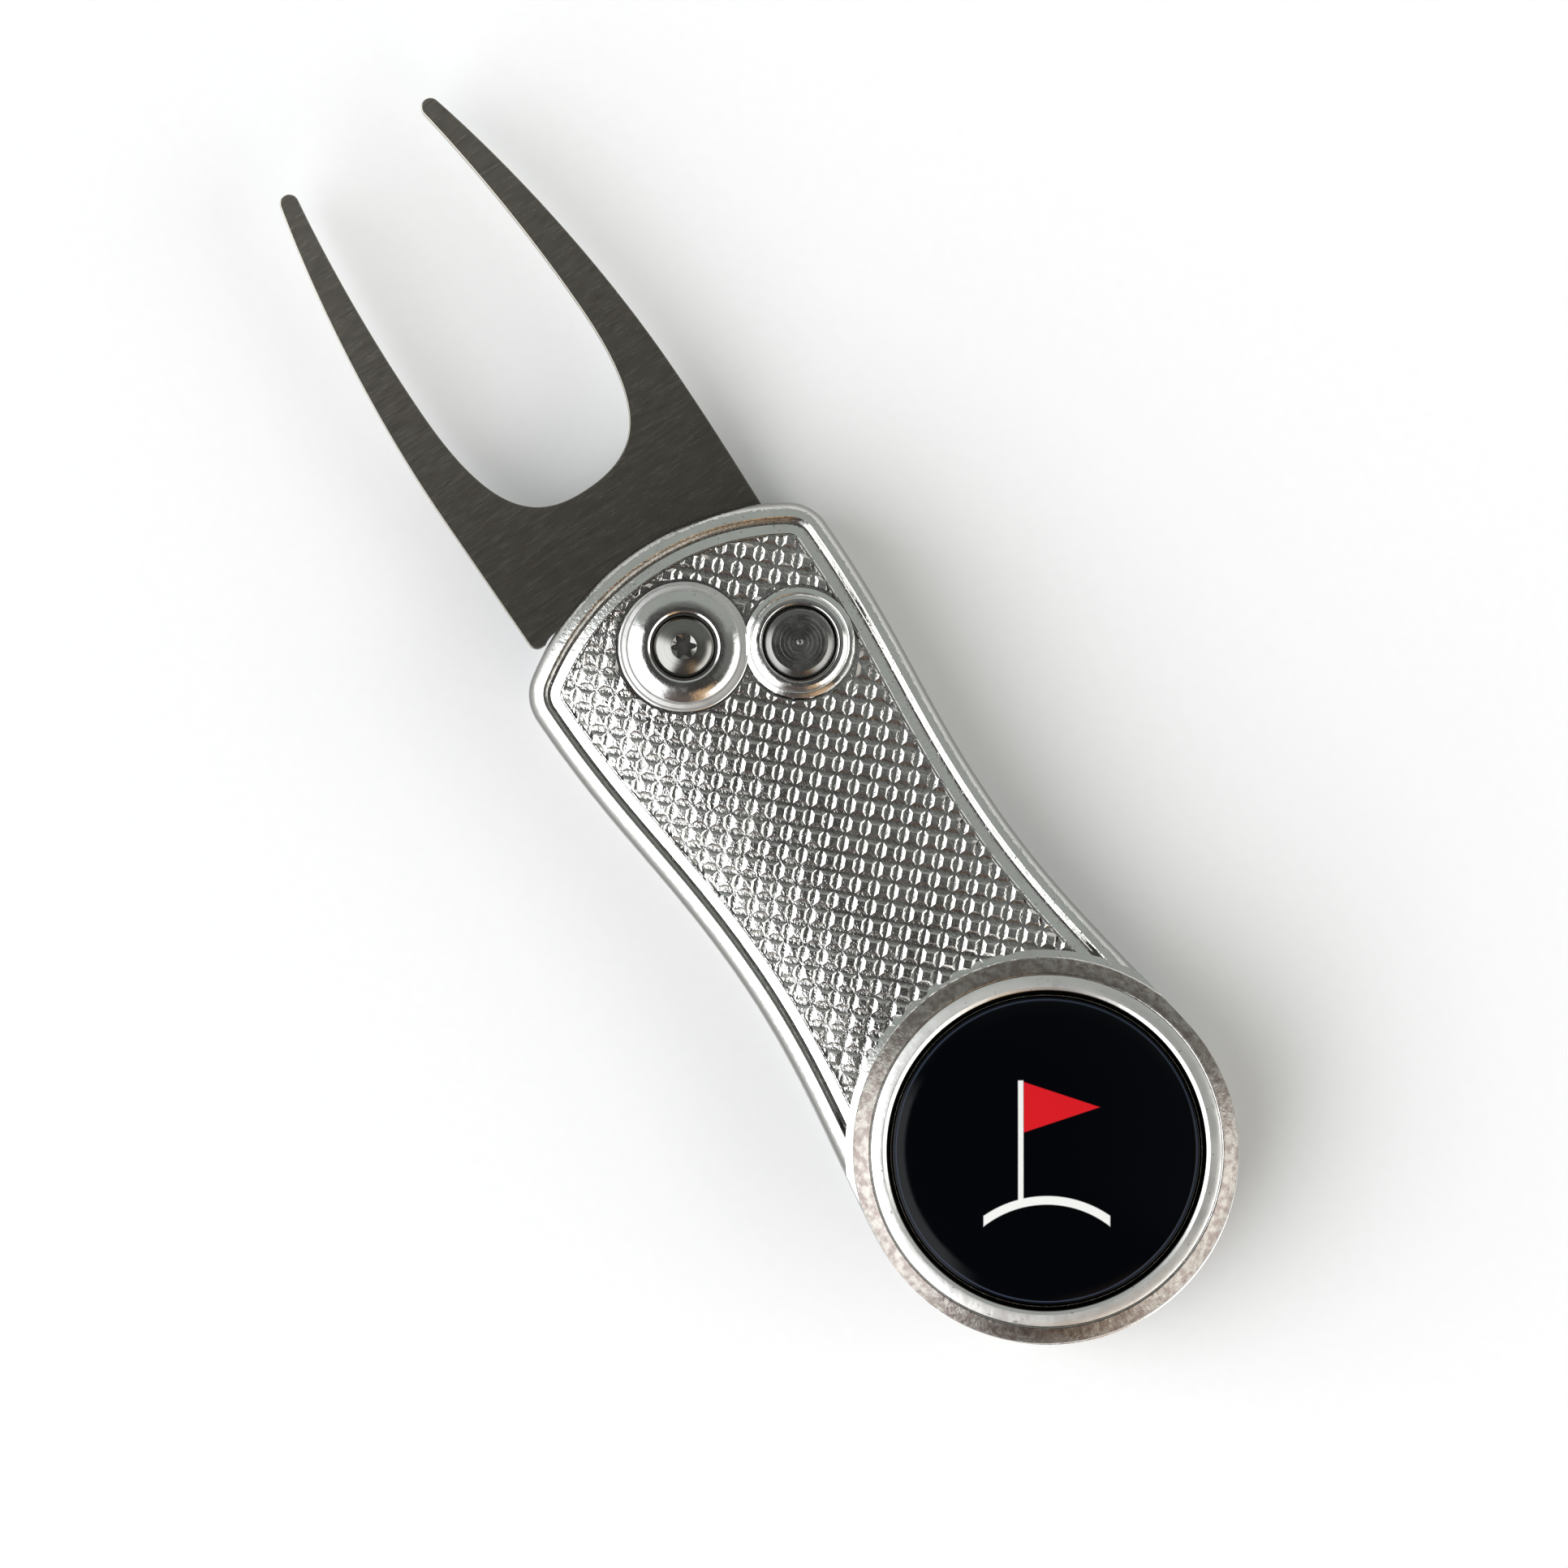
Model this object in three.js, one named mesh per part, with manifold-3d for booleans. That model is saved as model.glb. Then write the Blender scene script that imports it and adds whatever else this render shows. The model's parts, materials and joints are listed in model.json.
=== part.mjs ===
// A folding divot repair tool: a two-tine fork that swings out of a die-cast handle on a pivot screw,
// held by a push-button lock, with a round ball marker seated over a magnet at the far end.
// Millimetres. The tool lies on its back plate: +X from the marker end to the tips, +Z up.
// X in the dimensions below is measured from the pivot, Y from the long axis, Z from the back face.
import * as THREE from "three";
import Module from "manifold-3d";
import { mergeVertices } from "three/addons/utils/BufferGeometryUtils.js";

const wasm = await Module();
wasm.setup();

// Handle outline
const MARKER_END = { x: -48.5, r: 14.85 };
const WAIST = { x: -24, halfWidth: 12.05 };
const SHOULDER = { x: 1, halfWidth: 13.65 };
const NOSE = { x: 8.35, r: 22, cornerX: 1.82, cornerR: 3.5 };

// Levels through the thickness
const BACK_PLATE_TOP = 4.4;
const FORK = { bottom: 4.6, top: 6.4 };
const SPLIT = 6.6;
const FACE = 10.4;
const RIM = { top: 11, width: 1.7, edge: 1.1 };
const BACK_EDGE = 1;

// Pivot: a headed barrel from the back, a button-head screw from the front, a washer on each face
const PIVOT = { x: 0, y: 1, holeR: 2.08 };
const BARREL = { r: 2, boreR: 1.4, blind: 1.8, top: 9.3 };
const BARREL_HEAD = { r: 3.6, wellR: 3.7, bottom: 0.2, top: 1.2, slotWidth: 0.9, slotTop: 0.7 };
const SCREW = { headR: 2.5, seat: 9.8, brim: 10.2, crown: 11.2, shankR: 1.25, end: 3 };
const RECESS = { r: 1, lobe: 0.18, floor: 10.3 };
const PIVOT_BOSS = { r: 5.2, edge: 10.4, crownR: 3.4, top: 11, boreR: 2.7, steps: 5 };
const WASHER_HOLE_R = 2.2;
const FRONT_WASHER = { r: 5.2, pocketR: 5.3, bottom: 6.45, top: 6.75 };
const BACK_WASHER = { r: 3.4, bottom: 4.25, top: 4.55 };

// Torsion spring coiled round the pivot under the fork
const COIL = { r: 4.65, wireR: 0.25, bottom: 2.25, top: 4.05, startTurn: 150 / 360, endTurn: 3.25 };
const COIL_LEG = { end: 7.2, slotEnd: 7.6, slotWidth: 0.8, catchTop: 5.8 };
const COIL_RECESS = { hubR: 3.6, r: 5.7, floor: 1.9 };
const CATCH_HOLE_R = 0.5;

// Push-button lock: cap, retaining flange, neck, and the barrel that blocks the tang
const BUTTON = { x: -4.84, y: -6.58, r: 2.75, top: 11.4, chamfer: 0.35 };
const FLANGE = { r: 3.2, bottom: 8.7, top: 9.3 };
const LOCK = { neckR: 1.15, r: 1.7, bottom: 4.5, top: 6.5, springBoreR: 1.15, springBoreTop: 6.1 };
const BUTTON_WELL = { mouthR: 2.85, ledge: 9.4, flangeR: 3.4, lowerR: 1.85, floor: 0.9 };
const BUTTON_BOSS = { r: 4.35, stepR: 3.6, top: 11, stepZ: 10.75 };
const BUTTON_COIL = { r: 0.85, wireR: 0.16, turns: 7, bottom: 1.08, top: 5.92 };
const STOP_PIN = { x: -0.2, y: -9.3, r: 1, holeR: 1.06, bottom: 1, top: 9 };

// Fork
const BLADE = { heelX: 6.35, baseHalf: 10.8, taperX: 19, cornerR: 0.7 };
const TIP = { x: 46.15, y: 6.7, r: 0.75, outerAngle: 76.5, innerAngle: -99.6 };
const SLOT = { rootX: 14.56, half: 7.45, widestX: 26.5 };
const TANG = { r: 7, lobeX: 1.1, lobeHalf: 10.3, lockNotchR: 1.9 };

// Spine along one edge, solid block at the marker end, screws through both
const SPINE = { innerY: -10.2, rootInnerY: -11.1, stepX: -2.4, endX: 3 };
const TIP_SWEEP_R = 48.3;
const REAR_SCREW = { x: -55, y: 7, headR: 2, sinkR: 2.3, headDepth: 1.1, shankR: 1.1, bottom: 0.15, top: 8.2 };
const REAR_HOLE = { clearanceR: 1.25, threadR: 1.15, top: 8.4 };
const HEX_SOCKET = { r: 0.85, depth: 0.9 };

// Ball marker and its seat
const SEAT = { x: -48.2, r: 12.4, floor: 9.6 };
const RING = { r: 13.9, mouthR: 12.9, mouthZ: 11.2, top: 11.8, chamfer: 0.15, footR: 14.5, footZ: 9.6, filletSteps: 4 };
const MAGNET = { r: 5, pocketR: 5.1, bottom: 7.4, top: 9.5 };
const CUP = { r: 12.15, wall: 0.35, base: 0.5, top: 11.5 };
const FACE_DISC = { r: 11.7, thickness: 0.2 };
const DOME = { r: 11.7, edge: 11.45, crown: 12.5, steps: 6 };

const CENTRE_SHIFT = -(MARKER_END.x - MARKER_END.r + TIP.x + TIP.r) / 2;
const CLOSED_BUTTON = { x: 2 * PIVOT.x - BUTTON.x, y: 2 * PIVOT.y - BUTTON.y };
const WELL_ABOVE = 20;

// Facets: per outline curve, round a small turned piece, round the marker end
const EDGE_DIVISIONS = 8;
const BEVEL_STEPS = 3;
const ROUND = 36;
const WIDE_ROUND = 60;

const metal = (color, roughness) => new THREE.MeshStandardMaterial({ color, roughness, metalness: 1 });
const coat = (color, roughness) => new THREE.MeshStandardMaterial({ color, roughness, metalness: 0 });
const MATERIALS = {
  plated: metal(0xbab6b1, 0.22),
  darkSteel: metal(0x5d584f, 0.4),
  steel: metal(0x8d8b88, 0.35),
  springWire: metal(0x9b9a98, 0.3),
  button: metal(0x5a5854, 0.35),
  bronze: metal(0xb08d4c, 0.4),
  nickel: metal(0x8c8378, 0.3),
  printed: coat(0x0b0b0c, 0.4),
  resin: coat(0x101011, 0.08),
};

// Solids

function solidOf(geometry) {
  const bare = geometry.index ? geometry.toNonIndexed() : geometry.clone();
  bare.deleteAttribute("normal");
  bare.deleteAttribute("uv");
  const merged = mergeVertices(bare, 1e-4);
  const mesh = new wasm.Mesh({
    numProp: 3,
    vertProperties: new Float32Array(merged.attributes.position.array),
    triVerts: new Uint32Array(merged.index.array),
  });
  return new wasm.Manifold(mesh);
}

function geometryOf(solid) {
  const mesh = solid.getMesh();
  const geometry = new THREE.BufferGeometry();
  geometry.setAttribute("position", new THREE.BufferAttribute(mesh.vertProperties, 3));
  geometry.setIndex(new THREE.BufferAttribute(mesh.triVerts, 1));
  const faceted = geometry.toNonIndexed();
  faceted.computeVertexNormals();
  return faceted;
}

function prism(shape, bottom, top, curveSegments = 12) {
  const depth = top - bottom;
  const geometry = new THREE.ExtrudeGeometry(shape, { depth, bevelEnabled: false, curveSegments });
  return solidOf(geometry.translate(0, 0, bottom));
}

function turned(profile, x, y, segments = ROUND) {
  const points = profile.map(([r, z]) => new THREE.Vector2(r, z));
  return solidOf(new THREE.LatheGeometry(points, segments).rotateX(Math.PI / 2).translate(x, y, 0));
}

function rod(r, bottom, top, x, y, segments = ROUND) {
  return turned([[0, bottom], [r, bottom], [r, top], [0, top]], x, y, segments);
}

function ring(inner, outer, bottom, top, x, y, segments = ROUND) {
  const profile = [[inner, bottom], [outer, bottom], [outer, top], [inner, top], [inner, bottom]];
  return turned(profile, x, y, segments);
}

function slab(x0, x1, y0, y1, z0, z1) {
  const geometry = new THREE.BoxGeometry(x1 - x0, y1 - y0, z1 - z0);
  return solidOf(geometry.translate((x0 + x1) / 2, (y0 + y1) / 2, (z0 + z1) / 2));
}

// A round wire along a list of points, with flat ends
function wire(points, r, steps) {
  const section = new THREE.Shape();
  section.absarc(0, 0, r, 0, 2 * Math.PI);
  const extrudePath = new THREE.CatmullRomCurve3(points, false, "centripetal");
  return solidOf(new THREE.ExtrudeGeometry(section, { extrudePath, steps, curveSegments: 3 }));
}

function onCircle(centre, r, turn, z) {
  const angle = 2 * Math.PI * turn;
  return new THREE.Vector3(centre.x + r * Math.cos(angle), centre.y + r * Math.sin(angle), z);
}

// Handle

function upperEdge() {
  const leave = Math.acos(2 / MARKER_END.r);
  const leaveY = MARKER_END.r * Math.sin(leave);
  const noseX = NOSE.x - NOSE.r;
  const cornerY = SHOULDER.halfWidth - NOSE.cornerR;
  const meet = Math.atan2(cornerY, NOSE.cornerX - noseX);
  const path = new THREE.Path();
  path.absarc(MARKER_END.x, 0, MARKER_END.r, Math.PI, leave, true);
  path.bezierCurveTo(-38, leaveY - 1.2, -32, WAIST.halfWidth, WAIST.x, WAIST.halfWidth);
  path.bezierCurveTo(-14, WAIST.halfWidth, -9, SHOULDER.halfWidth, SHOULDER.x, SHOULDER.halfWidth);
  path.absarc(NOSE.cornerX, cornerY, NOSE.cornerR, Math.PI / 2, meet, true);
  path.absarc(noseX, 0, NOSE.r, meet, 0, true);
  return path.getPoints(EDGE_DIVISIONS).filter((p, i, all) => i === 0 || p.distanceTo(all[i - 1]) > 0.05);
}

function handleOutline(inset = 0) {
  const upper = upperEdge();
  const lower = upper.slice(1, -1).reverse().map((p) => new THREE.Vector2(p.x, -p.y));
  const loop = [...upper, ...lower];
  return new THREE.Shape(loop.map((point, i) => {
    const before = loop[(i + loop.length - 1) % loop.length];
    const after = loop[(i + 1) % loop.length];
    const along = after.clone().sub(before).normalize();
    return new THREE.Vector2(point.x + along.y * inset, point.y - along.x * inset);
  }));
}

// The handle outline as a slab whose upper or lower edge is rounded
function roundedSlab(bottom, top, edge, roundedSide) {
  const start = roundedSide === "top" ? bottom - edge : bottom + edge;
  const end = roundedSide === "top" ? top - edge : top + edge;
  const bevel = { bevelThickness: edge, bevelSize: edge, bevelOffset: -edge, bevelSegments: BEVEL_STEPS };
  const geometry = new THREE.ExtrudeGeometry(handleOutline(), { depth: end - start, ...bevel });
  return solidOf(geometry.translate(0, 0, start)).intersect(slab(-80, 80, -40, 40, bottom, top));
}

function markerDrum() {
  const profile = [[0, SPLIT + 1], [RING.footR, SPLIT + 1]];
  for (let i = 0; i <= RING.filletSteps; i += 1) {
    const angle = (Math.PI / 2) * (i / RING.filletSteps);
    const r = RING.footR - (RING.footR - RING.r) * Math.sin(angle);
    const z = RING.footZ + (RING.top - RING.footZ) * 0.6 * (1 - Math.cos(angle));
    profile.push([r, z]);
  }
  profile.push([RING.r, RING.top - RING.chamfer], [RING.r - RING.chamfer, RING.top], [0, RING.top]);
  return turned(profile, SEAT.x, 0, WIDE_ROUND);
}

// A boss whose top falls away ever more steeply from the flat round its bore
function pivotBoss() {
  const { r, edge, crownR, top, steps } = PIVOT_BOSS;
  const profile = [[0, SPLIT + 1], [r, SPLIT + 1]];
  for (let i = 0; i <= steps; i += 1) {
    const out = 1 - i / steps;
    profile.push([crownR + (r - crownR) * out, top - (top - edge) * out ** 2]);
  }
  return turned([...profile, [0, top]], PIVOT.x, PIVOT.y);
}

function frontScale() {
  let body = roundedSlab(SPLIT, RIM.top, RIM.edge, "top")
    .subtract(prism(handleOutline(RIM.width), FACE, WELL_ABOVE))
    .add(markerDrum())
    .add(pivotBoss())
    .add(rod(BUTTON_BOSS.r, SPLIT + 1, BUTTON_BOSS.top, BUTTON.x, BUTTON.y));
  const seat = [
    [0, SEAT.floor], [SEAT.r, SEAT.floor], [SEAT.r, RING.mouthZ],
    [RING.mouthR, RING.top], [RING.mouthR, WELL_ABOVE], [0, WELL_ABOVE],
  ];
  const cuts = [
    rod(PIVOT_BOSS.boreR, SCREW.seat, WELL_ABOVE, PIVOT.x, PIVOT.y),
    rod(PIVOT.holeR, 0, WELL_ABOVE, PIVOT.x, PIVOT.y, 32),
    rod(FRONT_WASHER.pocketR, 0, FRONT_WASHER.top, PIVOT.x, PIVOT.y),
    rod(BUTTON_BOSS.stepR, BUTTON_BOSS.stepZ, WELL_ABOVE, BUTTON.x, BUTTON.y),
    rod(BUTTON_WELL.mouthR, 0, WELL_ABOVE, BUTTON.x, BUTTON.y),
    rod(BUTTON_WELL.flangeR, 0, BUTTON_WELL.ledge, BUTTON.x, BUTTON.y),
    rod(STOP_PIN.holeR, 0, STOP_PIN.top + 0.1, STOP_PIN.x, STOP_PIN.y, 24),
    turned(seat, SEAT.x, 0, WIDE_ROUND),
    rod(MAGNET.pocketR, MAGNET.bottom, WELL_ABOVE, SEAT.x, 0),
    ...[-1, 1].map((side) => rod(REAR_HOLE.threadR, 0, REAR_HOLE.top, REAR_SCREW.x, side * REAR_SCREW.y, 24)),
  ];
  for (const cut of cuts) body = body.subtract(cut);
  return body;
}

function backScale() {
  const upper = prism(handleOutline(), BACK_PLATE_TOP - 0.5, SPLIT);
  const spine = upper.intersect(slab(MARKER_END.x, SPINE.stepX, -20, SPINE.innerY, 0, SPLIT));
  const spineRoot = upper.intersect(slab(SPINE.stepX - 1, SPINE.endX, -20, SPINE.rootInnerY, 0, SPLIT));
  const block = upper.subtract(rod(TIP_SWEEP_R, 0, WELL_ABOVE, PIVOT.x, PIVOT.y, 96));
  let body = roundedSlab(0, BACK_PLATE_TOP, BACK_EDGE, "bottom").add(spine).add(spineRoot).add(block);
  const legSlot = slab(COIL.r, COIL_LEG.slotEnd, -COIL_LEG.slotWidth / 2, COIL_LEG.slotWidth / 2, 1.9, 5)
    .rotate([0, 0, 360 * COIL.startTurn])
    .translate([PIVOT.x, PIVOT.y, 0]);
  const sink = [[0, -1], [REAR_SCREW.sinkR, -1], [REAR_SCREW.sinkR, 0.1], [REAR_HOLE.clearanceR, 1.4], [0, 1.4]];
  const cuts = [
    rod(PIVOT.holeR, -1, WELL_ABOVE, PIVOT.x, PIVOT.y, 32),
    rod(BARREL_HEAD.wellR, -1, BARREL_HEAD.top, PIVOT.x, PIVOT.y),
    ring(COIL_RECESS.hubR, COIL_RECESS.r, COIL_RECESS.floor, WELL_ABOVE, PIVOT.x, PIVOT.y),
    rod(COIL_RECESS.hubR + 0.1, BACK_WASHER.bottom, WELL_ABOVE, PIVOT.x, PIVOT.y),
    legSlot,
    rod(BUTTON_WELL.lowerR, BUTTON_WELL.floor, WELL_ABOVE, BUTTON.x, BUTTON.y, 32),
    rod(STOP_PIN.holeR, STOP_PIN.bottom, WELL_ABOVE, STOP_PIN.x, STOP_PIN.y, 24),
    ...[-1, 1].map((side) => turned(sink, REAR_SCREW.x, side * REAR_SCREW.y, 32)),
    ...[-1, 1].map((side) => rod(REAR_HOLE.clearanceR, 0, WELL_ABOVE, REAR_SCREW.x, side * REAR_SCREW.y, 24)),
  ];
  for (const cut of cuts) body = body.subtract(cut);
  return body;
}

// Fork

function forkOutline() {
  const radians = THREE.MathUtils.degToRad;
  const outerTip = radians(TIP.outerAngle);
  const innerTip = radians(TIP.innerAngle);
  const inner = { x: TIP.x + TIP.r * Math.cos(innerTip), y: TIP.y + TIP.r * Math.sin(innerTip) };
  const corner = BLADE.cornerR;
  const half = BLADE.baseHalf;
  const tangTop = Math.sqrt(TANG.r ** 2 - BLADE.heelX ** 2);
  const lobeTop = -Math.sqrt(TANG.r ** 2 - TANG.lobeX ** 2);
  const shape = new THREE.Shape();
  shape.moveTo(BLADE.heelX, PIVOT.y + tangTop);
  shape.lineTo(BLADE.heelX, half - corner);
  shape.absarc(BLADE.heelX + corner, half - corner, corner, Math.PI, Math.PI / 2, true);
  shape.lineTo(BLADE.taperX, half);
  shape.bezierCurveTo(28, half, 38, 9.5, TIP.x + TIP.r * Math.cos(outerTip), TIP.y + TIP.r * Math.sin(outerTip));
  shape.absarc(TIP.x, TIP.y, TIP.r, outerTip, innerTip, true);
  shape.bezierCurveTo(40, 6.9, 33, SLOT.half, SLOT.widestX, SLOT.half);
  shape.bezierCurveTo(16.5, SLOT.half, SLOT.rootX, 4.4, SLOT.rootX, 0);
  shape.bezierCurveTo(SLOT.rootX, -4.4, 16.5, -SLOT.half, SLOT.widestX, -SLOT.half);
  shape.bezierCurveTo(33, -SLOT.half, 40, -6.9, inner.x, -inner.y);
  shape.absarc(TIP.x, -TIP.y, TIP.r, -innerTip, -outerTip, true);
  shape.bezierCurveTo(38, -9.5, 28, -half, BLADE.taperX, -half);
  shape.bezierCurveTo(13, -half, 8, -TANG.lobeHalf - 0.2, TANG.lobeX + corner, -TANG.lobeHalf);
  shape.absarc(TANG.lobeX + corner, corner - TANG.lobeHalf, corner, -Math.PI / 2, -Math.PI, true);
  shape.lineTo(TANG.lobeX, PIVOT.y + lobeTop);
  const tangStart = Math.atan2(lobeTop, TANG.lobeX);
  const tangEnd = Math.atan2(tangTop, BLADE.heelX);
  shape.absarc(PIVOT.x, PIVOT.y, TANG.r, tangStart, tangEnd, true);
  return shape;
}

function fork() {
  const catchAt = onCircle(PIVOT, COIL.r, COIL.endTurn, 0);
  return prism(forkOutline(), FORK.bottom, FORK.top)
    .subtract(rod(PIVOT.holeR, 0, WELL_ABOVE, PIVOT.x, PIVOT.y, 32))
    .subtract(rod(CATCH_HOLE_R, 0, WELL_ABOVE, catchAt.x, catchAt.y, 16))
    .subtract(rod(TANG.lockNotchR, 0, WELL_ABOVE, CLOSED_BUTTON.x, CLOSED_BUTTON.y));
}

// Pivot

function pivotBarrel() {
  const { slotWidth, slotTop } = BARREL_HEAD;
  const profile = [
    [0, BARREL_HEAD.bottom], [BARREL_HEAD.r, BARREL_HEAD.bottom], [BARREL_HEAD.r, BARREL_HEAD.top],
    [BARREL.r, BARREL_HEAD.top], [BARREL.r, BARREL.top], [BARREL.boreR, BARREL.top],
    [BARREL.boreR, BARREL.blind], [0, BARREL.blind],
  ];
  const slot = slab(PIVOT.x - 5, PIVOT.x + 5, PIVOT.y - slotWidth / 2, PIVOT.y + slotWidth / 2, -1, slotTop);
  return turned(profile, PIVOT.x, PIVOT.y, 32).subtract(slot);
}

function lobedRecess() {
  const points = [];
  for (let i = 0; i < 48; i += 1) {
    const angle = (2 * Math.PI * i) / 48;
    const r = RECESS.r + RECESS.lobe * Math.cos(6 * angle);
    points.push(new THREE.Vector2(PIVOT.x + r * Math.cos(angle), PIVOT.y + r * Math.sin(angle)));
  }
  return prism(new THREE.Shape(points), RECESS.floor, WELL_ABOVE);
}

function pivotScrew() {
  const profile = [[0, SCREW.end], [SCREW.shankR, SCREW.end], [SCREW.shankR, SCREW.seat], [SCREW.headR, SCREW.seat]];
  for (let i = 0; i <= 5; i += 1) {
    const angle = (Math.PI / 2) * (i / 5);
    profile.push([SCREW.headR * Math.cos(angle), SCREW.brim + (SCREW.crown - SCREW.brim) * Math.sin(angle)]);
  }
  profile[profile.length - 1][0] = 0;
  return turned(profile, PIVOT.x, PIVOT.y).subtract(lobedRecess());
}

function driveSpring() {
  const turns = COIL.endTurn - COIL.startTurn;
  const points = [onCircle(PIVOT, COIL_LEG.end, COIL.startTurn, COIL.bottom)];
  points.push(onCircle(PIVOT, COIL.r + 1.1, COIL.startTurn, COIL.bottom));
  const first = COIL.startTurn + 0.03;
  const last = COIL.endTurn - 0.025;
  const count = Math.round(turns * 12);
  for (let i = 0; i <= count; i += 1) {
    const turn = first + ((last - first) * i) / count;
    points.push(onCircle(PIVOT, COIL.r, turn, COIL.bottom + ((COIL.top - COIL.bottom) * i) / count));
  }
  points.push(onCircle(PIVOT, COIL.r, COIL.endTurn, FORK.bottom + 0.1));
  points.push(onCircle(PIVOT, COIL.r, COIL.endTurn, COIL_LEG.catchTop));
  return wire(points, COIL.wireR, 90);
}

// Push-button lock

function pushButton() {
  const { r, top, chamfer, x, y } = BUTTON;
  const profile = [
    [0, LOCK.springBoreTop], [LOCK.springBoreR, LOCK.springBoreTop], [LOCK.springBoreR, LOCK.bottom],
    [LOCK.r, LOCK.bottom], [LOCK.r, LOCK.top], [LOCK.neckR, LOCK.top], [LOCK.neckR, FLANGE.bottom],
    [FLANGE.r, FLANGE.bottom], [FLANGE.r, FLANGE.top], [r, FLANGE.top],
    [r, top - chamfer], [r - chamfer, top], [0, top],
  ];
  return turned(profile, x, y);
}

function buttonSpring() {
  const points = [];
  const count = BUTTON_COIL.turns * 10;
  for (let i = 0; i <= count; i += 1) {
    const z = BUTTON_COIL.bottom + ((BUTTON_COIL.top - BUTTON_COIL.bottom) * i) / count;
    points.push(onCircle(BUTTON, BUTTON_COIL.r, (BUTTON_COIL.turns * i) / count, z));
  }
  return wire(points, BUTTON_COIL.wireR, BUTTON_COIL.turns * 12);
}

// Rear screws

function rearScrew(side) {
  const { x, y, headR, headDepth, shankR, bottom, top } = REAR_SCREW;
  const profile = [[0, bottom], [headR, bottom], [shankR, bottom + headDepth], [shankR, top], [0, top]];
  const socket = rod(HEX_SOCKET.r, -1, bottom + HEX_SOCKET.depth, x, side * y, 6);
  return turned(profile, x, side * y, 32).subtract(socket);
}

// Ball marker

function markerCup() {
  const { r, wall, base, top } = CUP;
  const floor = SEAT.floor + base;
  const profile = [[0, SEAT.floor], [r, SEAT.floor], [r, top], [r - wall, top], [r - wall, floor], [0, floor]];
  return turned(profile, SEAT.x, 0, WIDE_ROUND);
}

function markerFace() {
  const bottom = SEAT.floor + CUP.base;
  return rod(FACE_DISC.r, bottom, bottom + FACE_DISC.thickness, SEAT.x, 0, WIDE_ROUND);
}

function markerDome() {
  const bottom = SEAT.floor + CUP.base + FACE_DISC.thickness;
  const rise = DOME.crown - DOME.edge;
  const profile = [[0, bottom], [DOME.r, bottom]];
  for (let i = 0; i <= DOME.steps; i += 1) {
    const angle = (Math.PI / 2) * (i / DOME.steps);
    profile.push([DOME.r * Math.cos(angle), DOME.edge + rise * Math.sin(angle) ** 1.2]);
  }
  profile[profile.length - 1][0] = 0;
  return turned(profile, SEAT.x, 0, WIDE_ROUND);
}

// Assembly

const pieces = {
  front_scale: [frontScale(), MATERIALS.plated],
  back_scale: [backScale(), MATERIALS.plated],
  fork: [fork(), MATERIALS.darkSteel],
  pivot_barrel: [pivotBarrel(), MATERIALS.steel],
  pivot_screw: [pivotScrew(), MATERIALS.steel],
  front_washer: [
    ring(WASHER_HOLE_R, FRONT_WASHER.r, FRONT_WASHER.bottom, FRONT_WASHER.top, PIVOT.x, PIVOT.y),
    MATERIALS.bronze,
  ],
  back_washer: [
    ring(WASHER_HOLE_R, BACK_WASHER.r, BACK_WASHER.bottom, BACK_WASHER.top, PIVOT.x, PIVOT.y, 32),
    MATERIALS.bronze,
  ],
  drive_spring: [driveSpring(), MATERIALS.springWire],
  push_button: [pushButton(), MATERIALS.button],
  button_spring: [buttonSpring(), MATERIALS.springWire],
  stop_pin: [rod(STOP_PIN.r, STOP_PIN.bottom, STOP_PIN.top, STOP_PIN.x, STOP_PIN.y, 24), MATERIALS.steel],
  rear_screw_1: [rearScrew(1), MATERIALS.steel],
  rear_screw_2: [rearScrew(-1), MATERIALS.steel],
  marker_magnet: [rod(MAGNET.r, MAGNET.bottom, MAGNET.top, SEAT.x, 0), MATERIALS.steel],
  marker_cup: [markerCup(), MATERIALS.nickel],
  marker_face: [markerFace(), MATERIALS.printed],
  marker_dome: [markerDome(), MATERIALS.resin],
};

const tool = new THREE.Group();
tool.position.x = CENTRE_SHIFT;
for (const [name, [solid, material]] of Object.entries(pieces)) {
  const mesh = new THREE.Mesh(geometryOf(solid), material);
  mesh.name = name;
  tool.add(mesh);
}

export default tool;
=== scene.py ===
"""Looks of the folding divot repair tool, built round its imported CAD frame.

Shapes are worked out in millimetres in the tool's own plan: X from the pivot towards the tips,
Y from the handle's long axis, Z from the back face. piece() turns them into metres in the row frame.
"""
import json
import math

import bmesh
import bpy
from mathutils import Matrix, Vector


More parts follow.
